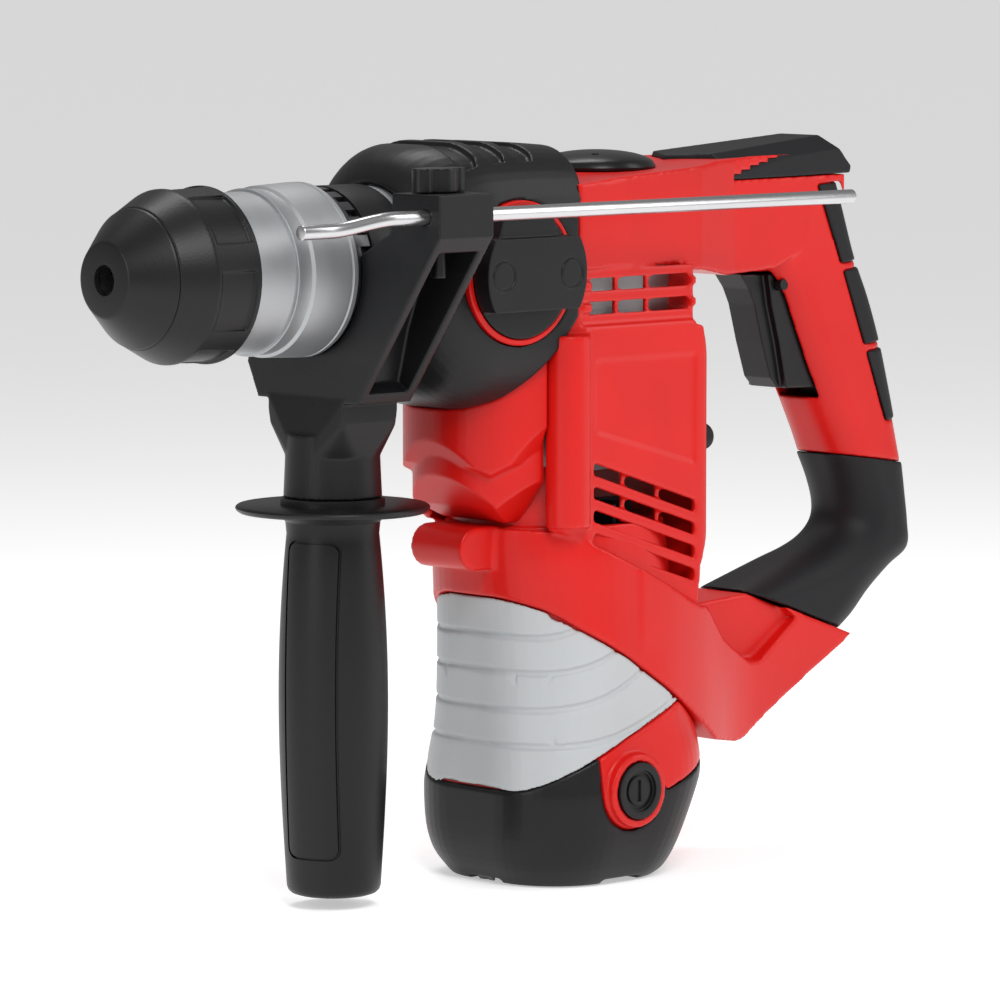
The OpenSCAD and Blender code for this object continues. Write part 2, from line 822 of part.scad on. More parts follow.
module dust_cap() {
  color(black) turned([[shank_r, 0], [12.2, 0], [13.1, -0.5], [23.4, -12.3],
    [23.6, -13], [11.5, -13], [10.55, -9.4], [10.55, -9], [8.3, -2.2], [shank_r, -2.2]]);
}

module grip_sleeve() {
  color(black) difference() {
    turned([[10.6, -13.3], [23.8, -13.3], [29.4, -24.5], [sleeve_r, -sleeve_back],
      [27.8, -sleeve_back], [27.8, -34], [26.5, -28], [20, -22], [20, -17.5], [10.6, -17.5]]);
    // six finger pads
    for (i = [0:5]) {
      rotate([60 * i + 15, 0, 0]) intersection() {
        xring(40, 29, 26.5, 41.5);
        box([-42, -10.5, 20], [-26, 10.5, 40]);
      }
    }
  }
}

module chuck_sleeve() {
  color([0.78, 0.79, 0.8]) turned([[25.8, -42.2], [27.4, -42.2], [27.4, -60.9], [28.6, -61],
    [28.2, -61.8], [28.2, -66.8], [29.2, -67.6], [29.9, -82], [29.9, -83.6], [29.2, -84],
    [29.9, -84.4], [29.9, -silver_back], [13.53, -silver_back], [13.53, -44.6], [18, -44.6],
    [18, -80], [25.8, -80]]);
}

module lock_ring() {
  color([0.25, 0.25, 0.26]) difference() {
    xring(28, 13.53, silver_back + 0.02, 94.4);
    for (i = [0:23]) {
      rotate([15 * i, 0, 0]) box([-96, -1.6, 25.6], [-90, 1.6, 30]);
    }
  }
}

// ---- side handle ----

module bracket_outline() {
  polygon(concat([[44.5, 27.6], [68, 27.6], [68, 13], [26.5, -45], [-25, -45], [-30.5, -33]],
    arc(0, 0, 29, 205, 372, 28), [[43, 14]]));
}

module side_bracket() {
  color(black) difference() {
    union() {
      translate([-113, 0, 0]) rotate([90, 0, 90]) linear_extrude(24.6) bracket_outline();
      translate([-handle_x, 0, 0]) neck_block();
    }
    // channel between the front and rear flanges
    translate([-109.6, 0, 0]) rotate([90, 0, 90]) linear_extrude(17.8)
      polygon([[39, 5], [60, 10], [80, 0], [40, -50], [24, -38], [29, -20]]);
    // room for the clamp band
    xrod(28.7, 88, 114);
    zrod(4.4, handle_x, -90, -20);
    zrod(6.15, handle_x, -30.6, -20);
    xrod(rod_r + 0.06, 80, 120, rod_y, rod_z);
    zrod(2.6, handle_x, 0, 40, 54);
    zrod(5.3, handle_x, 2, 12.4, 54);
  }
}

module depth_nut() {
  color(steel) difference() {
    translate([-handle_x, 54, 8.2]) cylinder(r = 4.6, h = 4, $fn = 6);
    zrod(2.56, handle_x, 0, 20, 54);
  }
}

// Neck between saddle and flange: a block that narrows into a round.
module neck_block() {
  intersection() {
    translate([0, 0, -flange_z + 3.4]) cylinder(r1 = 17.4, r2 = 25, h = 40);
    union() {
      hull() {
        translate([-12.4, -19.5, -52]) cube([24.8, 39, 8]);
        translate([0, 0, -66]) cylinder(r = 15.6, h = 1, $fn = 48);
      }
      translate([0, 0, -flange_z + 3.4]) cylinder(r1 = 17, r2 = 16, h = 22);
    }
  }
}

module clamp_band() {
  color(black) difference() {
    union() {
      xring(28.3, collar_r + 0.07, 95.3, 112.4);
      zrod(6, handle_x, -30.4, -26);
    }
    xrod(collar_r + 0.07, 94, 114);
  }
}

module handle_bolt() {
  color(steel) zrod(4, handle_x, -128, -30.45);
}

// Radius of the grip at depth t (0 at the flange, 1 at the end).
function grip_r(t) = 15.4 + 3.1 * sin(180 * pow(t, 0.9)) + 0.9 * t;

module side_grip() {
  z0 = -flange_z - 4;
  span = grip_end - flange_z - 4;
  steps = 16;
  color(black) difference() {
    translate([-handle_x, 0, 0]) rotate_extrude($fn = 96) polygon(concat(
      [[0, -flange_z + 3.1], [18, -flange_z + 3.1], [18, -flange_z + 0.6],
       [flange_r - 1, -flange_z + 0.6], [flange_r, -flange_z - 0.4],
       [flange_r - 1.4, -flange_z - 2], [17, -flange_z - 4.2]],
      [for (i = [1:steps]) [grip_r(i / steps), z0 - (span - 3) * i / steps]],
      [[grip_r(1) - 1.2, -grip_end + 0.8], [grip_r(1) - 3.4, -grip_end], [0, -grip_end]]));
    zrod(4.05, handle_x, -130, -70);
  }
}

// ---- depth stop ----

// Ring of the rod at x, moved in and down by drop.
function rod_ring(x, drop) =
  [for (i = [0:23]) let (a = 15 * i)
    [x, rod_y - drop + rod_r * sin(a), rod_z - drop + rod_r * cos(a)]];

// Straight rod with a small double bend near its front end.
module depth_rod() {
  color(steel) loft(concat([rod_ring(-36, 3.2)],
    [for (i = [8:-1:0]) rod_ring(-74 + 26 * i / 8, 1.6 * (1 - cos(180 * i / 8)))],
    [rod_ring(-rod_back, 0)]));
}

module depth_knob() {
  color(black) difference() {
    union() {
      zrod(6.2, handle_x, 27.9, 36, 54);
      translate([-handle_x, 54, 27.9]) linear_extrude(8.1) polygon([[-8.8, -3.4], [8.8, -3.4],
        [8.8, 3.4], [-8.8, 3.4]]);
      for (s = [-1, 1]) {
        translate([-handle_x + s * 7.2, 54, 27.9]) cylinder(r = 3.6, h = 8.1);
      }
    }
    zrod(2.4, handle_x, 20, 33, 54);
  }
  color(steel) zrod(2.5, handle_x, -1, 33, 54);
}

// ---- motor ----

module armature_shaft() {
  color(steel) {
    zrod(4, motor_x, -211.8, -66);
    zrod(3.5, motor_x, -67, -52.5);
    translate([-motor_x, 0, -65.5]) spur(pinion_n, 11);
  }
}

module armature_core() {
  color([0.35, 0.35, 0.37]) difference() {
    zring(21.5, 4.02, motor_x, -163, -110);
    for (i = [0:11]) {
      translate([-motor_x, 0, -170]) rotate(30 * i) translate([15, -1.3, 0]) cube([10, 2.6, 70]);
    }
  }
}

module armature_windings() {
  color([0.72, 0.38, 0.16]) {
    zring(19.5, 4.02, motor_x, -109.9, -101.5);
    zring(19.5, 4.02, motor_x, -173, -163.1);
    for (i = [0:11]) {
      translate([-motor_x, 0, -163.2]) rotate(30 * i) translate([15.4, -1.2, 0]) cube([3.6, 2.4, 53.4]);
    }
  }
}

module commutator() {
  color([0.75, 0.45, 0.2]) difference() {
    zring(13, 4.02, motor_x, -197, -178);
    for (i = [0:23]) {
      translate([-motor_x, 0, -198]) rotate(15 * i + 7.5) translate([12, -0.3, 0]) cube([3, 0.6, 22]);
    }
  }
}

module cooling_fan() {
  color([0.2, 0.2, 0.22]) difference() {
    union() {
      zrod(9, motor_x, -98, -86);
      zrod(29, motor_x, -98, -96.4);
      for (i = [0:10]) {
        translate([-motor_x, 0, -96.6]) rotate(i * 360 / 11) translate([8, -0.9, 0]) cube([20.6, 1.8, 9.6]);
      }
    }
    zrod(4.02, motor_x, -100, -80);
  }
}

module stator_core() {
  color([0.4, 0.4, 0.42]) difference() {
    zrod(32.2, motor_x, -165, -108);
    zrod(22.1, motor_x, -170, -100);
    both_sides() translate([-motor_x, 0, -170]) linear_extrude(80)
      polygon(concat(arc(0, 0, 28.6, 48, 132, 10), arc(0, 0, 20, 132, 48, 6)));
  }
}

module field_coils() {
  color([0.72, 0.38, 0.16]) {
    zring(30.5, 23.5, motor_x, -107.9, -100.5);
    zring(30.5, 23.5, motor_x, -173.5, -165.1);
    both_sides() translate([-motor_x, 0, -165.2]) linear_extrude(57.4)
      polygon(concat(arc(0, 0, 28.1, 52, 128, 10), arc(0, 0, 23.5, 128, 52, 6)));
  }
}

module brush_holders() {
  color([0.75, 0.62, 0.3]) both_sides() difference() {
    yrod(7.5, motor_x, -186.6, 15.5, 42.6);
    translate([-motor_x - 3.1, 10, -190.7]) cube([6.2, 40, 8.2]);
  }
}

module carbon_brushes() {
  color([0.16, 0.16, 0.17]) both_sides() translate([-motor_x - 3, 13.3, -190.6]) cube([6, 14, 8]);
}

module brush_springs() {
  color(steel) both_sides() translate([-motor_x, 27.6, -186.6]) rotate([-90, 0, 0]) coil(2.1, 0.4, 3, 4.5, 12);
}

module brush_caps() {
  color(black) both_sides() difference() {
    union() {
      yrod(7.4, motor_x, -186.6, 42.8, 44);
      yrod(10, motor_x, -186.6, 43.2, 46.4);
    }
    yrod(7.4, motor_x, -186.6, 45.4, 50);
    difference() {
      yrod(6.6, motor_x, -186.6, 44.6, 50);
      yrod(5.2, motor_x, -186.6, 40, 50);
    }
    translate([-motor_x - 1, 44.6, -186.6 - 3.8]) cube([2, 5, 7.6]);
  }
}

// ---- covers, pads and small parts ----

module grease_cap() {
  color(black) difference() {
    translate([-226, 0, 0]) rotate_extrude($fn = 96) polygon(concat([[0, 24], [14.6, 24],
      [14.6, 30], [21, 30], [21.3, 31]],
      [for (a = [14:8:90]) [21 * cos(a), 31.4 + 5.4 * sin(a)]], [[0, 36.8]]));
    for (i = [0:3]) {
      translate([-226, 0, 0]) rotate(45 + 90 * i) translate([13, 0, 33]) cylinder(r = 1.3, h = 10, $fn = 24);
    }
  }
}

module grease_seal() {
  color(rubber) translate([-226, 0, 29.25]) rotate_extrude() translate([16.2, 0]) circle(0.65, $fn = 24);
}

// Black cap on top of the handle; its front edge is a chevron.
module pad_solid(g) {
  intersection() {
    side(-60, 60, [[-258, 25 + g], [-258, 33.6 - g], [-330, 39.4 - g], [-342 + g, 28 - g],
      [-341.4 + g, 25.2 + g]]);
    linear_extrude(100) polygon([[-260 - g, 0], [-273 - g, 21.5 - g], [-300, 18.6 - g],
      [-343, 14.9 - g], [-343, -14.9 + g], [-300, -18.6 + g], [-273 - g, -21.5 + g]]);
    rotate([90, 0, 90]) translate([0, 0, -400]) linear_extrude(200) polygon([[-22 + g, 20],
      [-22 + g, 25], [-17 + g, 33], [-9, 40 - g], [9, 40 - g], [17 - g, 33], [22 - g, 25],
      [22 - g, 20]]);
  }
}

module top_pad_seat() {
  pad_solid(-0.01);
}

module top_pad() {
  color(rubber) difference() {
    pad_solid(0.05);
    side(-12, 12, [[-276, 20], [-276, 31], [-326, 35], [-336, 28], [-336, 20]]);
  }
}

// Rear rubber pads on the grip: [top z, bottom z].
pad_rows = [[21.5, -7.5], [-10.5, -38], [-41, -67]];
function pad_edge(z) = -322.7 + (z - 23) * 0.412;

module pad_band(g) {
  for (row = pad_rows) {
    side(-60, 60, [[pad_edge(row[0]) + g, row[0] + g], [-400, row[0] + g + 3],
      [-400, row[1] - g + 3], [pad_edge(row[1]) + g, row[1] - g]]);
  }
}

module grip_pad_cuts() {
  intersection() {
    pad_band(0.02);
    difference() {
      handle_skin(grip_slices, -2);
      handle_skin(grip_slices, 1.3);
    }
  }
}

module grip_pads() {
  color(rubber) intersection() {
    pad_band(0);
    difference() {
      handle_skin(grip_slices, -0.6);
      handle_skin(grip_slices, 1.2);
    }
  }
}

module handle_elbow() {
  color(rubber) difference() {
    handle_skin(elbow_slices, -0.5);
    handle_skin(elbow_slices, 3);
    side(-60, 60, arm_outline);
    box([-400, -60, -79], [-300, 60, 0]);
    side(-60, 60, [[-330, -74], [-339, -78.7], [-376, -84.2], [-400, -70], [-300, -60]]);
    translate([-353, 0, -128]) rotate([0, 35, 0]) translate([0, 0, -20]) cylinder(r = 5.05, h = 20);
  }
}

// Bush where a supply cord would enter.
module cord_inlet() {
  color(black) translate([-353, 0, -128]) rotate([0, 35, 0]) translate([0, 0, -8])
    difference() {
      cylinder(r = 5, h = 10);
      translate([0, 0, -1]) cylinder(r = 3.3, h = 12);
    }
}

module rear_stop() {
  color(rubber) translate([-249.02, 27, -65.6]) rotate([0, -90, 0]) {
    cylinder(r = 4.8, h = 4);
    translate([0, 0, 4]) scale([1, 1, 0.7]) sphere(r = 4.8, $fn = 32);
  }
}

// ---- selector ----

module selector_bezel() {
  color(red) difference() {
    yrod(25, selector_x, selector_z, 32.7, 38);
    yrod(22.9, selector_x, selector_z, 30, 40);
  }
}

// Bar of the selector in its own outline: round ends on the dial's radius.
module bar_solid(r, h, y0, y1) {
  intersection() {
    yrod(r, selector_x, selector_z, y0, y1);
    box([-200, 0, selector_z - h], [-100, 60, selector_z + h]);
  }
}

module selector_dial() {
  color(black) difference() {
    union() {
      yrod(22.7, selector_x, selector_z, 34.6, 38.6);
      bar_solid(23.4, 12.6, 38.5, 46);
      yrod(8, selector_x, selector_z, 28.4, 36);
      side(38.5, 43.6, [[-138, 9], [-167, 9], [-164, 17.5], [-141, 17.5]]);
    }
    // slot for the release button
    box([-163.4, 39.6, 4], [-142.6, 42.9, 25]);
    // recessed marks at both ends of the bar
    for (x = [138.5, 170.5]) {
      difference() {
        yrod(5.4, x, selector_z, 45.4, 50);
        yrod(4.6, x, selector_z, 40, 50);
      }
    }
  }
}

module selector_button() {
  color(rubber) side(39.9, 42.6, [[-143, 7], [-163, 7], [-163, 18.6], [-161, 20.4],
    [-145, 20.4], [-143, 18.6]]);
}

// ---- switch and trigger ----

module trigger() {
  color(black) difference() {
    intersection() {
      side(-9.8, 9.8, [[-292.5, -10.5], [-297, -16], [-300, -22], [-304, -36], [-308.4, -49],
        [-312, -52.8], [-331, -53.5], [-325, -37], [-319, -20], [-314, -11.6], [-309, -9.9], [-303, -10.9]]);
      union() {
        // the nose is rounded where the finger rests
        side(-9.8, 9.8, [[-302, 0], [-306, -22], [-310, -36], [-314, -54], [-360, -60], [-340, 0]]);
        side(-7, 7, [[-280, 0], [-280, -60], [-330, -60], [-330, 0]]);
      }
    }
    yrod(2.06, 309, -14.5, -12, 12);
    side(-6.5, 6.5, [[-309, -22], [-313, -36], [-318, -49], [-340, -49], [-340, -22]]);
  }
}

module switch_body() {
  color(black) {
    translate([-350, -8, -54]) rotate([0, 13, 0]) cube([13, 16, 40]);
    yrod(2, 309, -14.5, -13, 13);
  }
}

module trigger_spring() {
  color(steel) translate([-331.7, 0, -36]) rotate([0, 103, 0]) coil(3, 0.45, 3.5, 4.5, 14);
}

housing_left();
housing_right();
chin_cover();
motor_housing();
soft_band();
base_cap();
front_hood();
gear_case();
gear_plate();
housing_screws();
base_screws();
brush_caps();
brush_holders();
carbon_brushes();
brush_springs();
grease_cap();
grease_seal();
top_pad();
grip_pads();
handle_elbow();
cord_inlet();
rear_stop();
selector_bezel();
switch_body();
trigger_spring();
stator_core();
field_coils();
shaft_bearings();
spindle_bearings();
crank_shaft();
connecting_rod();
wrist_pin();
piston();
armature_shaft();
armature_core();
armature_windings();
commutator();
cooling_fan();
bevel_shaft();
crank_gear();
spindle();
spindle_gear();
chuck_sleeve();
lock_ring();
dust_cap();
locking_balls();
sleeve_spring();
grip_sleeve();
impact_bolt();
striker();
trigger();
selector_dial();
selector_button();
side_bracket();
clamp_band();
handle_bolt();
side_grip();
depth_rod();
depth_knob();
depth_nut();
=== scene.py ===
import bpy
import bmesh
import math
from mathutils import Matrix, Vector


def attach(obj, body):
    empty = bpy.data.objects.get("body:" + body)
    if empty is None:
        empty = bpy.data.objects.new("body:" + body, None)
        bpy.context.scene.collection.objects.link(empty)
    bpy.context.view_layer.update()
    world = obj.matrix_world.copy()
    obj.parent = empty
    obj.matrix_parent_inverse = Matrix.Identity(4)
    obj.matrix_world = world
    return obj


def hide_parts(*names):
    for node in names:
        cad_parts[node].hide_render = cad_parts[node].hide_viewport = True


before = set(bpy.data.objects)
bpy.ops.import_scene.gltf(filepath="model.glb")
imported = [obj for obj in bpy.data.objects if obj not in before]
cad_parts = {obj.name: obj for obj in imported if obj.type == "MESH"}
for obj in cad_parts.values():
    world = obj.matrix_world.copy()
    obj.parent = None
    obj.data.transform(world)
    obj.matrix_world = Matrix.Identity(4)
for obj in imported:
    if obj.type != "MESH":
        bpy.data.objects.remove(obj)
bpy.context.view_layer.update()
MM = 0.001

# ---------------------------------------------------------------- camera
cam_data = bpy.data.cameras.new("camera")
cam = bpy.data.objects.new("camera", cam_data)
bpy.context.scene.collection.objects.link(cam)
bpy.context.scene.camera = cam
cam_data.sensor_width = 36
cam_data.lens = 217.6
cam_data.clip_start, cam_data.clip_end = 0.1, 20
turn, pitch, roll = math.radians(46.98), math.radians(5.805), math.radians(0.0)
look = Vector((-math.cos(turn) * math.cos(pitch), -math.sin(turn) * math.cos(pitch), -math.sin(pitch)))
cam.location = Vector((1.268, 1.551, 0.1302))
cam.rotation_mode = "QUATERNION"
cam.rotation_quaternion = look.to_track_quat("-Z", "Y") @ Matrix.Rotation(roll, 3, "Z").to_quaternion()

# ---------------------------------------------------------------- materials


def material(name, color, rough, metal=0.0, grain=None, bump=0.0, mottle=0.0, coat=0.0,
             stretch=(1, 1, 1), spec=None, aniso=0.0):
    """Moulded, cast or turned finish: fine grain in the surface and a slight change of tone and gloss."""
    m = bpy.data.materials.new(name)
    m.use_nodes = True
    nt = m.node_tree
    b = nt.nodes["Principled BSDF"]
    b.inputs["Metallic"].default_value = metal
    b.inputs["Roughness"].default_value = rough
    if coat:
        b.inputs["Coat Weight"].default_value = coat
        b.inputs["Coat Roughness"].default_value = 0.18
    if spec is not None:
        b.inputs["Specular IOR Level"].default_value = spec
    if aniso:
        b.inputs["Anisotropic"].default_value = aniso
    where = nt.nodes.new("ShaderNodeTexCoord")
    fit = nt.nodes.new("ShaderNodeMapping")
    fit.inputs["Scale"].default_value = stretch
    nt.links.new(where.outputs["Object"], fit.inputs["Vector"])
    cloud = nt.nodes.new("ShaderNodeTexNoise")
    cloud.inputs["Scale"].default_value = 26
    cloud.inputs["Detail"].default_value = 5
    nt.links.new(fit.outputs["Vector"], cloud.inputs["Vector"])
    tone = nt.nodes.new("ShaderNodeValToRGB")
    lo, hi = 1 - mottle, 1 + mottle
    tone.color_ramp.elements[0].position = 0.3
    tone.color_ramp.elements[1].position = 0.7
    tone.color_ramp.elements[0].color = [min(1, c * lo) for c in color] + [1]
    tone.color_ramp.elements[1].color = [min(1, c * hi) for c in color] + [1]
    nt.links.new(cloud.outputs["Fac"], tone.inputs["Fac"])
    nt.links.new(tone.outputs["Color"], b.inputs["Base Color"])
    gloss = nt.nodes.new("ShaderNodeMapRange")
    gloss.inputs["To Min"].default_value = max(0.02, rough * 0.88)
    gloss.inputs["To Max"].default_value = min(1.0, rough * 1.12)
    nt.links.new(cloud.outputs["Fac"], gloss.inputs["Value"])
    nt.links.new(gloss.outputs["Result"], b.inputs["Roughness"])
    if grain:
        fine = nt.nodes.new("ShaderNodeTexNoise")
        fine.inputs["Scale"].default_value = grain
        fine.inputs["Detail"].default_value = 3
        nt.links.new(fit.outputs["Vector"], fine.inputs["Vector"])
        lift = nt.nodes.new("ShaderNodeBump")
        lift.inputs["Strength"].default_value = bump
        lift.inputs["Distance"].default_value = 0.0002
        nt.links.new(fine.outputs["Fac"], lift.inputs["Height"])
        nt.links.new(lift.outputs["Normal"], b.inputs["Normal"])
    return m


RED = material("red_moulded", (0.62, 0.006, 0.0035), 0.36, grain=1500, bump=0.10, mottle=0.05, spec=0.35)
GREY = material("grey_soft_grip", (0.47, 0.49, 0.50), 0.46, grain=1900, bump=0.22, mottle=0.03)
BLACK = material("black_moulded", (0.0065, 0.0065, 0.0075), 0.40, grain=1500, bump=0.25, mottle=0.10,
                 spec=0.3)
BLACK_SMOOTH = material("black_satin", (0.006, 0.006, 0.007), 0.32, grain=1400, bump=0.12, mottle=0.10,
                        spec=0.32)
RUBBER = material("black_rubber", (0.008, 0.008, 0.0095), 0.52, grain=1700, bump=0.28, mottle=0.08,
                  spec=0.25)
SILVER = material("satin_silver", (0.42, 0.43, 0.44), 0.46, metal=0.8, grain=900, bump=0.12, mottle=0.03,
                  stretch=(6, 1, 1))
STEEL = material("turned_steel", (0.60, 0.60, 0.61), 0.26, metal=1.0, grain=900, bump=0.05, mottle=0.04)
DARK_STEEL = material("blackened_steel", (0.10, 0.10, 0.105), 0.34, metal=0.9, grain=900, bump=0.10,
                      mottle=0.10)
CAST = material("cast_aluminium", (0.42, 0.43, 0.44), 0.46, metal=1.0, grain=900, bump=0.35, mottle=0.06)
LAMINATE = material("laminated_core", (0.16, 0.16, 0.17), 0.45, metal=0.8, grain=1400, bump=0.3, mottle=0.1,
                    stretch=(1, 1, 8))
COPPER = material("enamelled_wire", (0.55, 0.20, 0.07), 0.35, metal=0.9, grain=1100, bump=0.5, mottle=0.1)
BRASS = material("brass", (0.62, 0.44, 0.18), 0.32, metal=1.0, grain=900, bump=0.05, mottle=0.05)
CARBON = material("carbon", (0.02, 0.02, 0.021), 0.55, grain=1800, bump=0.2, mottle=0.1)

# ---------------------------------------------------------------- solids, all sizes in millimetres
WALL = 2.5
MOTOR_X, BASE_Z = 204, 220.5
SEL_X, SEL_Z = 154.5, -2.5
HANDLE_X, FLANGE_Z = 100.7, 82


def solid(verts, faces, name="tmp"):
    me = bpy.data.meshes.new(name)
    me.from_pydata([(x * MM, y * MM, z * MM) for x, y, z in verts], [], faces)
    bm = bmesh.new()
    bm.from_mesh(me)
    bmesh.ops.recalc_face_normals(bm, faces=bm.faces)
    bm.to_mesh(me)
    bm.free()
    o = bpy.data.objects.new(name, me)
    bpy.context.scene.collection.objects.link(o)
    return o


def prism(pts, lift):
    """Closed prism: pts are 2-D, lift(p, k) gives the 3-D point of end k."""
    n = len(pts)
    v = [lift(p, 0) for p in pts] + [lift(p, 1) for p in pts]
    f = [[i, (i + 1) % n, n + (i + 1) % n, n + i] for i in range(n)]
    return solid(v, f + [list(range(n))[::-1], list(range(n, 2 * n))])


def side(y0, y1, pts):
    return prism(pts, lambda p, k: (p[0], (y0, y1)[k], p[1]))


def plan(z0, z1, pts):
    return prism(pts, lambda p, k: (p[0], p[1], (z0, z1)[k]))


def cross(x0, x1, pts):
    return prism(pts, lambda p, k: ((x0, x1)[k], p[0], p[1]))


def ring2(r, n=96):
    return [(r * math.cos(2 * math.pi * i / n), r * math.sin(2 * math.pi * i / n)) for i in range(n)]


def zrod(r, x, z0, z1, y=0, n=96):
    return plan(z0, z1, [(a - x, b + y) for a, b in ring2(r, n)])


def yrod(r, x, z, y0, y1, n=96):
    return side(y0, y1, [(a - x, b + z) for a, b in ring2(r, n)])


def xrod(r, a, b, y=0, z=0, n=96):
    return cross(-b, -a, [(p + y, q + z) for p, q in ring2(r, n)])


def block(a, b):
    return side(a[1], b[1], [(a[0], a[2]), (b[0], a[2]), (b[0], b[2]), (a[0], b[2])])


def arc(cx, cy, r, a0, a1, n):
    return [(cx + r * math.cos(math.radians(a0 + (a1 - a0) * i / n)),
             cy + r * math.sin(math.radians(a0 + (a1 - a0) * i / n))) for i in range(n + 1)]


def rrect(a, b, r, k=12):
    out = []
    for q in range(4):
        for i in range(k + 1):
            t = math.radians(90 * q + 90 * i / k)
            sx = 1 if q in (0, 3) else -1
            sy = 1 if q < 2 else -1
            out.append((sx * (a - r) + r * math.cos(t), sy * (b - r) + r * math.sin(t)))
    return out


def smooth_rows(rows, n):
    """Rows of numbers with a smooth curve through each column, n steps from one row to the next."""
    out = []
    m = len(rows)
    for j in range(m - 1):
        p0, p1, p2, p3 = rows[max(j - 1, 0)], rows[j], rows[j + 1], rows[min(j + 2, m - 1)]
        for i in range(n):
            t = i / n
            row = []
            for a, b, c, d in zip(p0, p1, p2, p3):
                row.append(0.5 * ((2 * b) + (c - a) * t + (2 * a - 5 * b + 4 * c - d) * t * t
                                  + (3 * b - a - 3 * c + d) * t ** 3))
            out.append(row)
    out.append(list(rows[-1]))
    return out


def loft(rings):
    n, m = len(rings[0]), len(rings)
    v = [p for r in rings for p in r]
    f = [[j * n + i, (j + 1) * n + i, (j + 1) * n + (i + 1) % n, j * n + (i + 1) % n]
         for j in range(m - 1) for i in range(n)]
    return solid(v, f + [list(range(n)), [(m - 1) * n + i for i in range(n - 1, -1, -1)]])


def level(s, g):
    z, fr, bk, w, r = s
    a, b = (bk - fr) / 2 - g, w - g
    r = max(min(r - g, a, b), 1)
    return [(p[0] - (fr + bk) / 2, p[1], z) for p in rrect(a, b, r)]


def across(s, g):
    x, w, top, bot, r = s
    a, b = (top + bot) / 2 - g, w - g
    r = max(min(r - g, a, b), 1)
    return [(-x, p[1], p[0] + (top - bot) / 2) for p in rrect(a, b, r)]


def slice_ring(s, g, soft=1.0):
    fx, fz, bx, bz, w, r = s
    dx, dz = bx - fx, bz - fz
    ln = math.hypot(dx, dz)
    a, ux, uz = ln / 2 - g, dx / ln, dz / ln
    cx, cz = (fx + bx) / 2, (fz + bz) / 2
    rr = max(min(r * soft - g / 2, a - 0.01, w - g - 0.01), 1)
    return [(-(cx + ux * p[0]), p[1], cz + uz * p[0]) for p in rrect(a, w - g, rr)]


def bop(a, b, how):
    md = a.modifiers.new("b", "BOOLEAN")
    md.object, md.operation, md.solver = b, how, "MANIFOLD"
    return settle(a, b)


def settle(a, *gone):
    dg = bpy.context.evaluated_depsgraph_get()
    me = bpy.data.meshes.new_from_object(a.evaluated_get(dg))
    old = a.data
    a.modifiers.clear()
    a.data = me
    bpy.data.meshes.remove(old)
    for b in gone:
        d = b.data
        bpy.data.objects.remove(b)
        bpy.data.meshes.remove(d)
    return a


def union(a, *bs):
    for b in bs:
        a = bop(a, b, "UNION")
    return a


def minus(a, *bs):
    for b in bs:
        a = bop(a, b, "DIFFERENCE")
    return a


def meet(a, *bs):
    for b in bs:
        a = bop(a, b, "INTERSECT")
    return a


def copy_of(a):
    o = bpy.data.objects.new("tmp", a.data.copy())
    bpy.context.scene.collection.objects.link(o)
    return o


def mirrored(a):
    """The mirror image of a solid on the other side of the middle plane."""
    b = copy_of(a)
    for v in b.data.vertices:
        v.co.y = -v.co.y
    b.data.flip_normals()
    return b


def both(fn, *args):
    """A solid and its mirror image, as two objects."""
    a = fn(*args)
    return [a, mirrored(a)]


def hull_of(*objs):
    """Convex hull. It keeps open edges, so Blender skips an INTERSECT with it."""
    bm = bmesh.new()
    for o in objs:
        bm.from_mesh(o.data)
    r = bmesh.ops.convex_hull(bm, input=bm.verts)
    junk = list(set(e for e in r["geom_interior"] + r["geom_unused"] if isinstance(e, bmesh.types.BMVert)))
    bmesh.ops.delete(bm, geom=junk, context="VERTS")
    bmesh.ops.recalc_face_normals(bm, faces=bm.faces)
    me = bpy.data.meshes.new("hull")
    bm.to_mesh(me)
    bm.free()
    for o in objs:
        d = o.data
        bpy.data.objects.remove(o)
        bpy.data.meshes.remove(d)
    o = bpy.data.objects.new("hull", me)
    bpy.context.scene.collection.objects.link(o)
    return o


def lathe(pts, axis, n=160, at=(0, 0, 0)):
    """Closed solid of revolution; pts are (radius, height) round the outline."""
    rings = []
    for i in range(n):
        a = 2 * math.pi * i / n
        c, s = math.cos(a), math.sin(a)
        for r, h in pts:
            if axis == "x":
                rings.append((h + at[0], r * c + at[1], r * s + at[2]))
            elif axis == "y":
                rings.append((r * c + at[0], h + at[1], r * s + at[2]))
            else:
                rings.append((r * c + at[0], r * s + at[1], h + at[2]))
    m = len(pts)
    faces = []
    for i in range(n):
        j = (i + 1) % n
        for k in range(m):
            l = (k + 1) % m
            faces.append([i * m + k, j * m + k, j * m + l, i * m + l])
    o = solid(rings, faces)
    bm = bmesh.new()
    bm.from_mesh(o.data)
    bmesh.ops.remove_doubles(bm, verts=bm.verts, dist=1e-7)
    bmesh.ops.dissolve_degenerate(bm, dist=1e-8, edges=bm.edges)
    bmesh.ops.recalc_face_normals(bm, faces=bm.faces)
    bm.to_mesh(o.data)
    bm.free()
    return o


def moulded(o, voxel, rounds=5, factor=0.5):
    """Takes the solid as one skin of even faces and eases its edges, as a mould does."""
    md = o.modifiers.new("r", "REMESH")
    md.mode, md.voxel_size, md.use_smooth_shade = "VOXEL", voxel * MM, True
    if rounds:
        sm = o.modifiers.new("s", "SMOOTH")
        sm.factor, sm.iterations = factor, rounds
    settle(o)
    return o


def about_spindle(o, degrees):
    """Turns a solid's mesh about the spindle axis."""
    a = math.radians(degrees)
    c, s = math.cos(a), math.sin(a)
    for v in o.data.vertices:
        y, z = v.co.y, v.co.z
        v.co.y, v.co.z = y * c - z * s, y * s + z * c
    return o


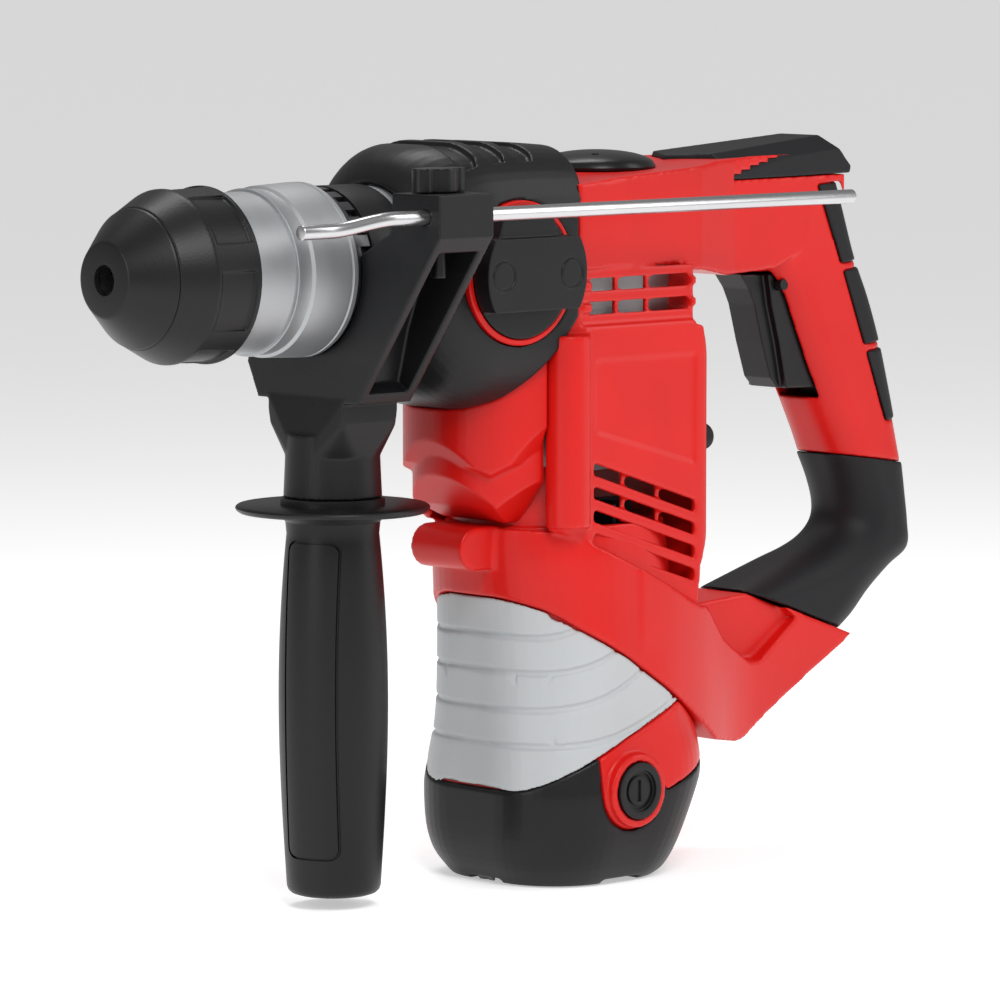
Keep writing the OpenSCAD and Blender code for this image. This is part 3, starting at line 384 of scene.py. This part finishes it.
def bevelled(o, width, angle=32, segments=3):
    """Eases the sharp edges of a machined or moulded piece."""
    w = o.modifiers.new("w", "WELD")
    w.merge_threshold = 2e-6
    b = o.modifiers.new("b", "BEVEL")
    b.width, b.segments, b.limit_method = width * MM, segments, "ANGLE"
    b.angle_limit = math.radians(angle)
    b.harden_normals = False
    return settle(o)


def piece(o, name, body, mat, nodes=(), auto=None):
    o.name = name
    o.data.name = name
    o.data.materials.clear()
    o.data.materials.append(mat)
    for p in o.data.polygons:
        p.material_index = 0
        p.use_smooth = True
    if auto is not None:
        bpy.context.view_layer.objects.active = o
        o.data.set_sharp_from_angle(angle=math.radians(auto))
    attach(o, body)
    if nodes:
        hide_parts(*nodes)
    return o


def node_copy(name):
    o = bpy.data.objects.new("tmp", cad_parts[name].data.copy())
    bpy.context.scene.collection.objects.link(o)
    bm = bmesh.new()
    bm.from_mesh(o.data)
    bmesh.ops.remove_doubles(bm, verts=bm.verts, dist=1e-6)
    bm.to_mesh(o.data)
    bm.free()
    return o


# ---------------------------------------------------------------- shared skins
MOTOR_LEVELS = [
    [-90, 165, 246, 38.5, 37], [-104, 164, 248, 39.5, 37], [-125, 165.5, 250, 40, 36],
    [-150, 166.8, 252, 41, 35], [-165, 166.8, 254, 41.5, 34], [-176, 166, 255.5, 42.2, 32],
    [-184, 165.2, 255, 42.7, 31], [-190, 165, 252.5, 42.8, 30], [-203, 165.2, 247, 42, 30],
    [-212, 167.2, 243.5, 39, 28], [-218, 171, 240.5, 35.5, 26], [-BASE_Z, 173, 236.5, 33, 24]]
MOTOR_FINE = smooth_rows(MOTOR_LEVELS, 3)
BAND_EDGE = [(-150, -118), (-166, -118.2), (-175, -122.5), (-185, -129.5), (-203, -140), (-229, -157)]
SOFT_EDGE = [(-229, -157), (-213, -163.8), (-202, -168), (-191, -173), (-180, -178.8),
             (-168, -185.5), (-160, -188.5), (-150, -189.5)]
BOSS_EDGE = [(-262, -178), (-250, -179.4), (-221, -188.5)] + arc(-204, -186.6, 14.5, 178, 353, 28)


def motor_skin(g):
    return loft([level(s, g) for s in MOTOR_FINE])


GRIP = [[286, 1, 335, 31, 16, 9], [297, -6, 342, 13, 16.4, 10], [307, -16, 349, -5, 16.6, 11],
        [314, -30, 356.6, -21, 16.6, 11], [321, -45, 363, -38, 16.6, 11],
        [329, -60, 368, -55, 16.6, 11], [335, -71, 371.5, -69, 16.8, 11],
        [339, -78.5, 375, -84, 17, 11]]
ELBOW = [[339, -78.5, 375, -84, 17, 11], [343.5, -88, 377.5, -96, 17, 12],
         [346.2, -97, 379.5, -108, 17.2, 13], [345.5, -103.5, 379, -117, 17.4, 13],
         [340, -109, 369, -123, 17.4, 12.5], [330, -113, 358, -131.5, 17.2, 12.5],
         [316, -117, 349, -139.5, 17.2, 12], [289, -125.5, 341, -144, 17.2, 11]]
GRIP_FINE = smooth_rows(GRIP, 5)
ELBOW_FINE = smooth_rows(ELBOW, 5)


def handle_skin(rows, g):
    return loft([slice_ring(s, g, 1.25) for s in rows])


# ---------------------------------------------------------------- red housing
def top_plan(g):
    return [(-183, -37 + g), (-183, 37 - g), (-205, 36.5 - g), (-250, 29.5 - g), (-275, 21.5 - g),
            (-300, 18 - g), (-339 + g, 14.5 - g), (-339 + g, -14.5 + g), (-300, -18 + g),
            (-275, -21.5 + g), (-250, -29.5 + g), (-205, -36.5 + g)][::-1]


def top_side(g):
    return [(-183, 27 - g), (-205, 29 - g), (-248, 31 - g), (-262, 32.5 - g), (-328, 34 - g),
            (-339 + g, 25 - g), (-341 + g, 12 + g), (-322, 1 + g), (-300, -8 + g), (-270, -9 + g),
            (-252, -6 + g), (-183, -3 + g)]


def top_block(g):
    return meet(side(-40, 40, top_side(g)), plan(-12, 38, top_plan(g)),
                hull_of(plan(1.8, 24.8 - g, top_plan(g)), plan(-12, 38, top_plan(g + 7))))


def body_plan(g):
    return ([(-174, 33.2 - g), (-186, 37 - g)] + arc(-242.5, 30.5, 6.5 - g, 90, 180, 10)
            + arc(-242.5, -30.5, 6.5 - g, 180, 270, 10) + [(-186, -37 + g), (-174, -33.2 + g)])


def lower_block(g):
    return meet(plan(-130, -3, body_plan(g)),
                side(-60, 60, [(-170, -3), (-240 + g, -3), (-240 + g, -24), (-244 + g, -25),
                               (-249 + g, -40), (-249 + g, -96), (-243 + g, -110), (-241 + g, -128),
                               (-207, -108), (-178, -94.5), (-170, -93.5)]))


BAND = ([(-140, -92.5), (-178, -94), (-207, -107.5), (-247, -127.5), (-275, -127.5), (-275, -176),
         (-257, -174.2)] + [(x, z + 0.5) for x, z in BAND_EDGE[::-1]])
ARM = [(-209, -108.4), (-240, -124.2), (-262, -128), (-289, -126.2), (-341, -144.8), (-336.5, -148),
       (-281, -177.5), (-275, -178.3), (-256, -175), (-229, -156.5), (-209, -143.2)]
ARM_PLAN_HALF = [(-205, 41.9), (-222, 41.4), (-234, 39.4), (-246, 36), (-258, 31), (-268, 26.3),
                 (-278, 22.6), (-290, 19.9), (-310, 18.2), (-345, 17.2)]
ARM_FINE = [(p[0], p[1]) for p in smooth_rows(ARM_PLAN_HALF, 4)]


def band_and_arm():
    band = minus(motor_skin(-1.2), motor_skin(2.2))
    band = meet(band, side(-60, 60, BAND), block((-258, -60, -200), (-140, 60, -80)))
    arm = meet(side(-60, 60, ARM), plan(-200, -90, ARM_FINE + [(x, -y) for x, y in ARM_FINE[::-1]]))
    # pocket above the slanted bar
    pocket = [(-246, -124), (-262, -122), (-291, -122), (-311, -136.5), (-290.6, -150.4), (-284, -150),
              (-262, -138.5)]
    arm = minus(arm, motor_skin(2.2), *both(side, 14, 50, pocket))
    return [band, arm]


def vents():
    cuts = []
    for z in (-8.4, -16.5):
        cuts += both(block, (-238, 24, z - 2.1), (-189, 60, z + 2.1))
    for z in (-4.6, -12.4, -20):
        cuts += both(block, (-252, 35.4, z - 2.6), (-184, 60, z + 2.2))
    cuts += both(side, 36.4, 60, [(-190.5, -34.5), (-240, -34.5), (-240, -74), (-190.5, -60)])
    for i in range(4):
        z = -70.5 - i * 8.2
        cuts += both(side, 30, 60, [(-190, z), (-190, z - 4.2), (-240, z - 4.2 - 16.5), (-240, z - 16.5)])
    return cuts


PAD_ROWS = [(21.5, -7.5), (-10.5, -38), (-41, -67)]


def pad_edge(z):
    return -322.7 + (z - 23) * 0.412


def pad_bands(g):
    return [side(-60, 60, [(pad_edge(t) + g, t + g), (-400, t + g + 3), (-400, b - g + 3),
                           (pad_edge(b) + g, b - g)])
            for t, b in PAD_ROWS]


def pad_solid(g):
    return meet(side(-60, 60, [(-258, 25 + g), (-258, 33.6 - g), (-330, 39.4 - g), (-342 + g, 28 - g),
                               (-341.4 + g, 25.2 + g)]),
                plan(0, 100, [(-260 - g, 0), (-273 - g, 21.5 - g), (-300, 18.6 - g), (-343, 14.9 - g),
                              (-343, -14.9 + g), (-300, -18.6 + g), (-273 - g, -21.5 + g)]),
                cross(-400, -200, [(-22 + g, 20), (-22 + g, 25), (-17 + g, 33), (-9, 40 - g), (9, 40 - g),
                                   (17 - g, 33), (22 - g, 25), (22 - g, 20)]))


def housing():
    body = union(top_block(0), lower_block(0),
                 *[meet(c, b) for c, b in zip(both(zrod, 8, 180, -92.5, -25.3, 34),
                                              both(block, (-200, 29, -93), (-172, 60, -25)))])
    body = minus(body, top_block(WALL), lower_block(WALL), block((-236.5, -27, -22), (-182, 27, 1)),
                 zrod(19, 226, 10, 60), zrod(21.5, 226, 29.7, 60), zrod(33.8, MOTOR_X, -130, -104),
                 *vents())
    posts = []
    for x in (203, 218):
        posts += both(block, (-x - 0.9, 32.5, -23), (-x + 0.9, 34.8, -3))
    for x in (206, 223):
        posts += both(block, (-x - 1, 33.2, -92.6), (-x + 1, 35, -66))
    grip = minus(handle_skin(GRIP_FINE, 0), handle_skin(GRIP_FINE, 3), top_block(WALL))
    stub = minus(side(-13, 13, arc(-156, -100.3, 7.6, -90, 90, 32) + [(-166.5, -92.7), (-166.5, -107.9)]),
                 motor_skin(2.2))
    collar = minus(zrod(22, 226, 22, 29.6), zrod(18.2, 226, 21, 31))
    throat = minus(meet(zrod(35.6, MOTOR_X, -95, -72), block((-186, -60, -96), (-160, 60, -71))),
                   zrod(33.8, MOTOR_X, -96, -70))
    body = union(body, *posts, grip, *band_and_arm(), stub, collar, throat)
    seats = minus(handle_skin(GRIP_FINE, -2), handle_skin(GRIP_FINE, 1.3))
    seats = meet(seats, union(*pad_bands(0.3)))
    pocket = side(-10.4, 10.4, [(-285, -4.5), (-300, -10.4), (-312, -7.5), (-324, -10), (-341, -30),
                                (-349, -60), (-332, -57.5), (-318, -56.4), (-300, -50), (-280, -20)])
    body = minus(body, pocket, seats, pad_solid(-0.25))
    # seats of the housing screws
    screws = []
    for x, z, y in [(256, 10, 23), (322, 12, 12.5), (346, -67, 13.4), (318, -146, 14.5), (272, -168, 19.5)]:
        screws.append(yrod(3.9, x, z, -60, -y, 48))
    return minus(body, *screws)


shell = moulded(housing(), 0.75, 4)
piece(shell, "housing_shell", "housing", RED, ["housing_left", "housing_right"])

# rubber pads at the back of the grip
pads = meet(minus(handle_skin(GRIP_FINE, -0.6), handle_skin(GRIP_FINE, 1.2)), union(*pad_bands(0)))
piece(moulded(pads, 0.45, 5), "grip_pads_look", "housing", RUBBER, ["grip_pads"])

top = minus(pad_solid(0.05), side(-12, 12, [(-276, 20), (-276, 31), (-326, 35), (-336, 28), (-336, 20)]))
piece(moulded(top, 0.45, 6), "top_pad_look", "housing", RUBBER, ["top_pad"])

# elbow
el = minus(handle_skin(ELBOW_FINE, -0.5), handle_skin(ELBOW_FINE, 3), side(-60, 60, ARM),
           block((-400, -60, -79), (-300, 60, 0)),
           side(-60, 60, [(-330, -74), (-339, -78.7), (-376, -84.2), (-400, -70), (-300, -60)]))
piece(moulded(el, 0.6, 6), "elbow_look", "housing", RUBBER, ["handle_elbow"])

# ---------------------------------------------------------------- motor end
panel_edge = ([(-229.5, -157.6), (-213, -164.4), (-202, -168.6), (-191.5, -173.6), (-189.6, -174.6)]
              + arc(-204, -186.6, 14, 353, 178, 24)
              + [(-221, -188), (-250, -178.9), (-262, -177.6), (-262, -176.6), (-257, -176.2)])
panel = meet(minus(motor_skin(0), motor_skin(3.2)), side(-60, 60, panel_edge))
inner = meet(motor_skin(2.3), block((-300, -60, -214), (-100, 60, -93)))
inner = minus(inner, zrod(32.4, MOTOR_X, -213, -80))
mh = union(inner, panel, *both(yrod, 13, MOTOR_X, -186.6, 36, 45.6))
mh = minus(mh, *both(yrod, 7.6, MOTOR_X, -186.6, 20, 60), *both(yrod, 10.3, MOTOR_X, -186.6, 43, 60))
piece(moulded(mh, 0.7, 4), "motor_housing_look", "housing", RED, ["motor_housing"])

soft = meet(minus(motor_skin(0), motor_skin(2.3)),
            side(-60, 60, [(x, z - 0.1) for x, z in BAND_EDGE] + [(x, z + 0.2) for x, z in SOFT_EDGE]))


def groove(x0, z0, x1, z1, sag, w):
    """Curved channel seen from the side, w wide."""
    up, down = [], []
    for i in range(17):
        t = i / 16
        x, z = x0 + (x1 - x0) * t, z0 + (z1 - z0) * t - sag * 4 * t * (1 - t)
        up.append((x, z + w / 2))
        down.append((x, z - w / 2))
    return up + down[::-1]


cutters = []
for x1, z0, z1, sag in [(-186, -129, -127.5, 3.5), (-200, -142.5, -136, 4.5), (-212, -157, -143.5, 5),
                        (-227, -169.5, -156, 5)]:
    g = side(-60, 60, groove(-160, z0, x1, z1, sag, 2.2))
    cutters.append(minus(g, motor_skin(1.0)))
soft = minus(soft, *cutters)
piece(moulded(soft, 0.5, 3), "soft_band_look", "housing", GREY, ["soft_band"])

base = meet(motor_skin(0), side(-60, 60, BOSS_EDGE + [(-189.4, -186), (-189, -174.6)] + SOFT_EDGE[4:]
                                + [(-150, -230), (-262, -230)]))
base = minus(base, meet(motor_skin(2.35), block((-300, -60, -BASE_Z + 4), (-100, 60, -150))),
             *both(yrod, 14.2, MOTOR_X, -186.6, 30, 60),
             block((-215, -60, -BASE_Z - 1), (-197, 60, -BASE_Z + 1.6)),
             block((-260, -8, -BASE_Z - 1), (-150, 8, -BASE_Z + 1.6)))
piece(moulded(base, 0.6, 4), "base_cap_look", "housing", BLACK, ["base_cap"])

piece(meet(node_copy("base_screws"), motor_skin(0.3)), "base_screws_look", "housing", DARK_STEEL,
      ["base_screws"], auto=30)

# ---------------------------------------------------------------- hood
HOOD = [[117.2, 30, 30, 30, 29.9], [118.5, 32.4, 32.6, 32.4, 31.5], [121.5, 34.3, 36.3, 36, 32],
        [126, 35.6, 39.4, 41, 31], [132, 36.4, 41, 46, 29], [142, 36.9, 42, 50, 27],
        [152, 37, 42.2, 51, 26], [170, 37.2, 41.4, 51, 24], [187, 37.4, 40, 50, 22]]
HOOD_FINE = smooth_rows(HOOD, 4)


def hood_skin(g):
    return loft([across(s, g) for s in HOOD_FINE])


hood_side = [(-110, 60), (-186, 60), (-184.6, 23.4), (-182.2, 19), (-182.2, -19), (-172.7, -30),
             (-163, -39.5), (-156, -46), (-148, -50.2), (-140, -51.5), (-110, -60)]
hood = meet(hood_skin(0), side(-60, 60, hood_side))
hood = minus(hood, meet(hood_skin(2.6), block((-200, -60, -60), (-119.4, 60, 60))), xrod(28.2, 100, 125),
             yrod(25.2, SEL_X, SEL_Z, 30, 60))
for x in (135, 148, 161):
    rib = plan(20, 60, [(-x, -25), (-x, 25), (-x - 2, 28.5), (-x - 6.5, 28.5), (-x - 8.5, 25),
                        (-x - 8.5, -25), (-x - 6.5, -28.5), (-x - 2, -28.5)])
    hood = minus(hood, minus(rib, hood_skin(1.9)))
piece(moulded(hood, 0.55, 4), "hood_look", "housing", BLACK, ["front_hood"])

chin = node_copy("chin_cover")
piece(moulded(chin, 0.55, 4), "chin_look", "housing", RED, ["chin_cover"])

# ---------------------------------------------------------------- chuck
cap = lathe([(5.2, 0), (12.0, 0), (12.7, -0.2), (13.2, -0.7), (23.2, -12.1), (23.5, -12.5),
             (23.6, -13), (11.5, -13), (10.55, -9.4), (10.55, -9), (8.3, -2.2), (5.2, -2.2)], "x")
piece(cap, "nose_cone", "spindle", BLACK, ["dust_cap"], auto=34)

sleeve = lathe([(10.6, -13.3), (23.4, -13.3), (23.9, -13.5), (29.2, -24.0), (29.5, -24.7), (30.0, -40),
                (30.1, -43.1), (29.8, -43.5), (27.8, -43.5), (27.8, -34), (26.5, -28), (20, -22),
                (20, -17.5), (10.6, -17.5)], "x", 192)
for i in range(6):
    pad = meet(minus(xrod(40, 26.5, 41.5), xrod(28.9, 20, 50)),
               cross(-42, -26, [(-10.5, 20), (10.5, 20), (10.5, 40), (-10.5, 40)]))
    sleeve = minus(sleeve, about_spindle(pad, 60 * i + 15))
piece(moulded(sleeve, 0.35, 4), "grip_sleeve_look", "grip_sleeve", BLACK, ["grip_sleeve"])

barrel = lathe([(25.8, -42.2), (27.4, -42.2), (27.4, -60.8), (28.3, -60.9), (28.5, -61.1), (28.2, -61.7),
                (28.2, -66.9), (28.9, -67.5), (29.2, -67.8), (29.9, -82), (29.9, -83.5), (29.3, -84),
                (29.9, -84.5), (29.9, -86.1), (29.6, -86.5), (13.53, -86.5), (13.53, -44.6),
                (18, -44.6), (18, -80), (25.8, -80)], "x", 192)
piece(barrel, "silver_sleeve", "spindle", SILVER, ["chuck_sleeve"], auto=34)

lock = minus(xrod(28, 86.52, 94.4, n=192), xrod(13.53, 80, 100))
for i in range(24):
    notch = cross(-96, -90, [(-1.6, 25.6), (1.6, 25.6), (1.6, 30), (-1.6, 30)])
    lock = minus(lock, about_spindle(notch, 15 * i))
piece(bevelled(lock, 0.25), "lock_ring_look", "spindle", DARK_STEEL, ["lock_ring"], auto=30)

# ---------------------------------------------------------------- side handle
bracket = node_copy("side_bracket")
piece(moulded(bracket, 0.5, 4), "bracket_look", "side_bracket", BLACK, ["side_bracket"])

band = minus(union(xrod(28.3, 95.3, 112.4, n=160), zrod(7, HANDLE_X, -30.4, -26)),
             xrod(21.57, 94, 114, n=160))
piece(bevelled(band, 0.4), "clamp_band_look", "side_bracket", BLACK, ["clamp_band"],
      auto=30)


def grip_r(t):
    return 15.4 + 3.1 * math.sin(math.pi * t ** 0.9) + 0.9 * t


Z0, SPAN, END = -FLANGE_Z - 4, 216.6 - FLANGE_Z - 4, 216.6
GRIP_AT = (-HANDLE_X, 0, 0)
GRIP_OUTLINE = ([(4.05, -FLANGE_Z + 3.1), (17.6, -FLANGE_Z + 3.1), (18, -FLANGE_Z + 2.7),
                 (18, -FLANGE_Z + 0.6), (32.7, -FLANGE_Z + 0.6), (33.3, -FLANGE_Z + 0.2),
                 (33.6, -FLANGE_Z - 0.4), (33.3, -FLANGE_Z - 1.2), (32.2, -FLANGE_Z - 2),
                 (18.4, -FLANGE_Z - 3.4), (16.4, -FLANGE_Z - 5.2)]
                + [(grip_r(i / 48), Z0 - (SPAN - 3) * i / 48) for i in range(2, 49)]
                + [(grip_r(1) - 0.5, -END + 1.6), (grip_r(1) - 1.5, -END + 0.6),
                   (grip_r(1) - 3.4, -END), (2, -END), (2, -130), (4.05, -130)])
grip = lathe(GRIP_OUTLINE, "z", 160, GRIP_AT)


def grip_core(g):
    """The inside of the grip, g under its surface."""
    swell = [(grip_r(i / 24) - g, Z0 - (SPAN - 3) * i / 24) for i in range(25)]
    outline = [(0, -60), (15 - g, -60)] + swell + [(grip_r(1) - g, -230), (0, -230)]
    return lathe(outline, "z", 160, GRIP_AT)


for turn_by in (20, 200):
    frame_cut = minus(cross(0, 40, [(y, z - 148) for y, z in rrect(10.4, 55, 4)]),
                      cross(-1, 41, [(y, z - 148) for y, z in rrect(9.5, 54.1, 3.2)]))
    a = math.radians(turn_by)
    cos_a, sin_a = math.cos(a), math.sin(a)
    for v in frame_cut.data.vertices:
        x, y = v.co.x, v.co.y
        v.co.x, v.co.y = abs(x) * cos_a - y * sin_a - HANDLE_X * MM, abs(x) * sin_a + y * cos_a
    bm = bmesh.new()
    bm.from_mesh(frame_cut.data)
    bmesh.ops.recalc_face_normals(bm, faces=bm.faces)
    bm.to_mesh(frame_cut.data)
    bm.free()
    grip = minus(grip, minus(frame_cut, grip_core(0.75)))
piece(grip, "side_grip_look", "side_grip", BLACK, ["side_grip"], auto=34)

rod_bend = [(-74 + 26 * i / 24, 1.6 * (1 - math.cos(math.pi * i / 24))) for i in range(24, -1, -1)]
rings = []
for x, drop in [(-36, 3.2)] + rod_bend + [(-294, 0)]:
    rings.append([(x, 61 - drop + 2.5 * math.sin(2 * math.pi * i / 48),
                   20 - drop + 2.5 * math.cos(2 * math.pi * i / 48)) for i in range(48)])
piece(bevelled(loft(rings), 0.35, 50), "depth_rod_look", "depth_rod", STEEL, ["depth_rod"],
      auto=40)

knob = node_copy("depth_knob")
piece(moulded(knob, 0.25, 4), "depth_knob_look", "depth_knob", BLACK_SMOOTH, ["depth_knob"])

# ---------------------------------------------------------------- selector, covers and small parts
bezel = lathe([(22.9, 32.7), (25, 32.7), (25, 37.5), (24.6, 38), (23.4, 38), (22.9, 37.6)], "y", 160,
              (-SEL_X, 0, SEL_Z))
piece(bezel, "selector_ring", "housing", RED, ["selector_bezel"], auto=34)
dial = node_copy("selector_dial")
piece(moulded(dial, 0.3, 4), "selector_look", "selector", BLACK, ["selector_dial"])
button = node_copy("selector_button")
piece(moulded(button, 0.2, 5), "release_button", "selector_button", BLACK_SMOOTH, ["selector_button"])
trig = node_copy("trigger")
piece(moulded(trig, 0.3, 8), "trigger_look", "trigger", BLACK_SMOOTH, ["trigger"])
stop = node_copy("rear_stop")
piece(moulded(stop, 0.2, 5), "rear_stop_look", "housing", RUBBER, ["rear_stop"])

dome = lathe([(0, 24), (14.6, 24), (14.6, 30), (21, 30), (21.3, 31)] + [(21 * math.cos(math.radians(a)),
             31.4 + 5.4 * math.sin(math.radians(a))) for a in range(14, 90, 4)] + [(0, 36.8)], "z", 160,
             (-226, 0, 0))
for i in range(4):
    a = math.radians(45 + 90 * i)
    dome = minus(dome, zrod(1.3, 226 - 13 * math.cos(a), 33, 43, 13 * math.sin(a), 32))
piece(bevelled(dome, 0.25, 40), "grease_cap_look", "housing", BLACK_SMOOTH, ["grease_cap"],
      auto=30)

caps = node_copy("brush_caps")
piece(bevelled(caps, 0.2, 35), "brush_caps_look", "housing", BLACK, ["brush_caps"],
      auto=30)

# ---------------------------------------------------------------- nodes whose CAD shape is shown as it is
FINISH = {
    "gear_case": CAST, "gear_plate": CAST, "piston": CAST, "housing_screws": DARK_STEEL,
    "brush_holders": BRASS, "carbon_brushes": CARBON, "brush_springs": STEEL, "grease_seal": RUBBER,
    "cord_inlet": BLACK, "switch_body": BLACK, "trigger_spring": STEEL, "stator_core": LAMINATE,
    "field_coils": COPPER, "shaft_bearings": STEEL, "spindle_bearings": STEEL, "crank_shaft": STEEL,
    "connecting_rod": STEEL, "wrist_pin": STEEL, "armature_shaft": STEEL, "armature_core": LAMINATE,
    "armature_windings": COPPER, "commutator": COPPER, "cooling_fan": BLACK, "bevel_shaft": STEEL,
    "crank_gear": STEEL, "spindle": STEEL, "spindle_gear": STEEL, "locking_balls": STEEL,
    "sleeve_spring": STEEL,
    "impact_bolt": STEEL, "striker": STEEL, "handle_bolt": STEEL, "depth_nut": STEEL}
for name, mat in FINISH.items():
    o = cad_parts[name]
    o.data.materials.clear()
    o.data.materials.append(mat)

# ---------------------------------------------------------------- floor and light
floor_mat = material("floor", (0.88, 0.88, 0.88), 0.9, mottle=0.004, spec=0.0)
shine = floor_mat.node_tree.nodes["Principled BSDF"]
shine.inputs["Emission Color"].default_value = (1, 1, 1, 1)
shine.inputs["Emission Strength"].default_value = 0.45
bpy.ops.mesh.primitive_plane_add(size=80, location=(-0.2, 0, -BASE_Z * MM - 0.0004))
floor = bpy.context.object
floor.name = "floor"
floor.data.materials.append(floor_mat)

world = bpy.data.worlds.new("studio")
bpy.context.scene.world = world
world.use_nodes = True
world.node_tree.nodes["Background"].inputs["Color"].default_value = (1.0, 1.0, 1.0, 1)
world.node_tree.nodes["Background"].inputs["Strength"].default_value = 0.26


def area(name, at, to, size, watts, tint=(1, 1, 1)):
    d = bpy.data.lights.new(name, "AREA")
    d.shape, d.size, d.size_y = "RECTANGLE", size[0], size[1]
    d.energy, d.color = watts, tint
    o = bpy.data.objects.new(name, d)
    bpy.context.scene.collection.objects.link(o)
    o.location = at
    o.rotation_mode = "QUATERNION"
    o.rotation_quaternion = (Vector(to) - Vector(at)).to_track_quat("-Z", "Y")
    return o


area("key", (0.35, 1.0, 0.95), (-0.18, 0, -0.05), (0.6, 0.6), 12)
area("side", (1.3, 0.1, 0.5), (-0.12, 0, -0.08), (0.35, 1.0), 5.5)
area("rear", (-1.0, 0.75, 0.5), (-0.25, 0, -0.05), (0.35, 1.0), 4)
area("top", (-0.35, -0.5, 1.2), (-0.2, 0, 0), (0.8, 0.4), 7)

view = bpy.context.scene.view_settings
view.view_transform = "Standard"
view.look = "None"
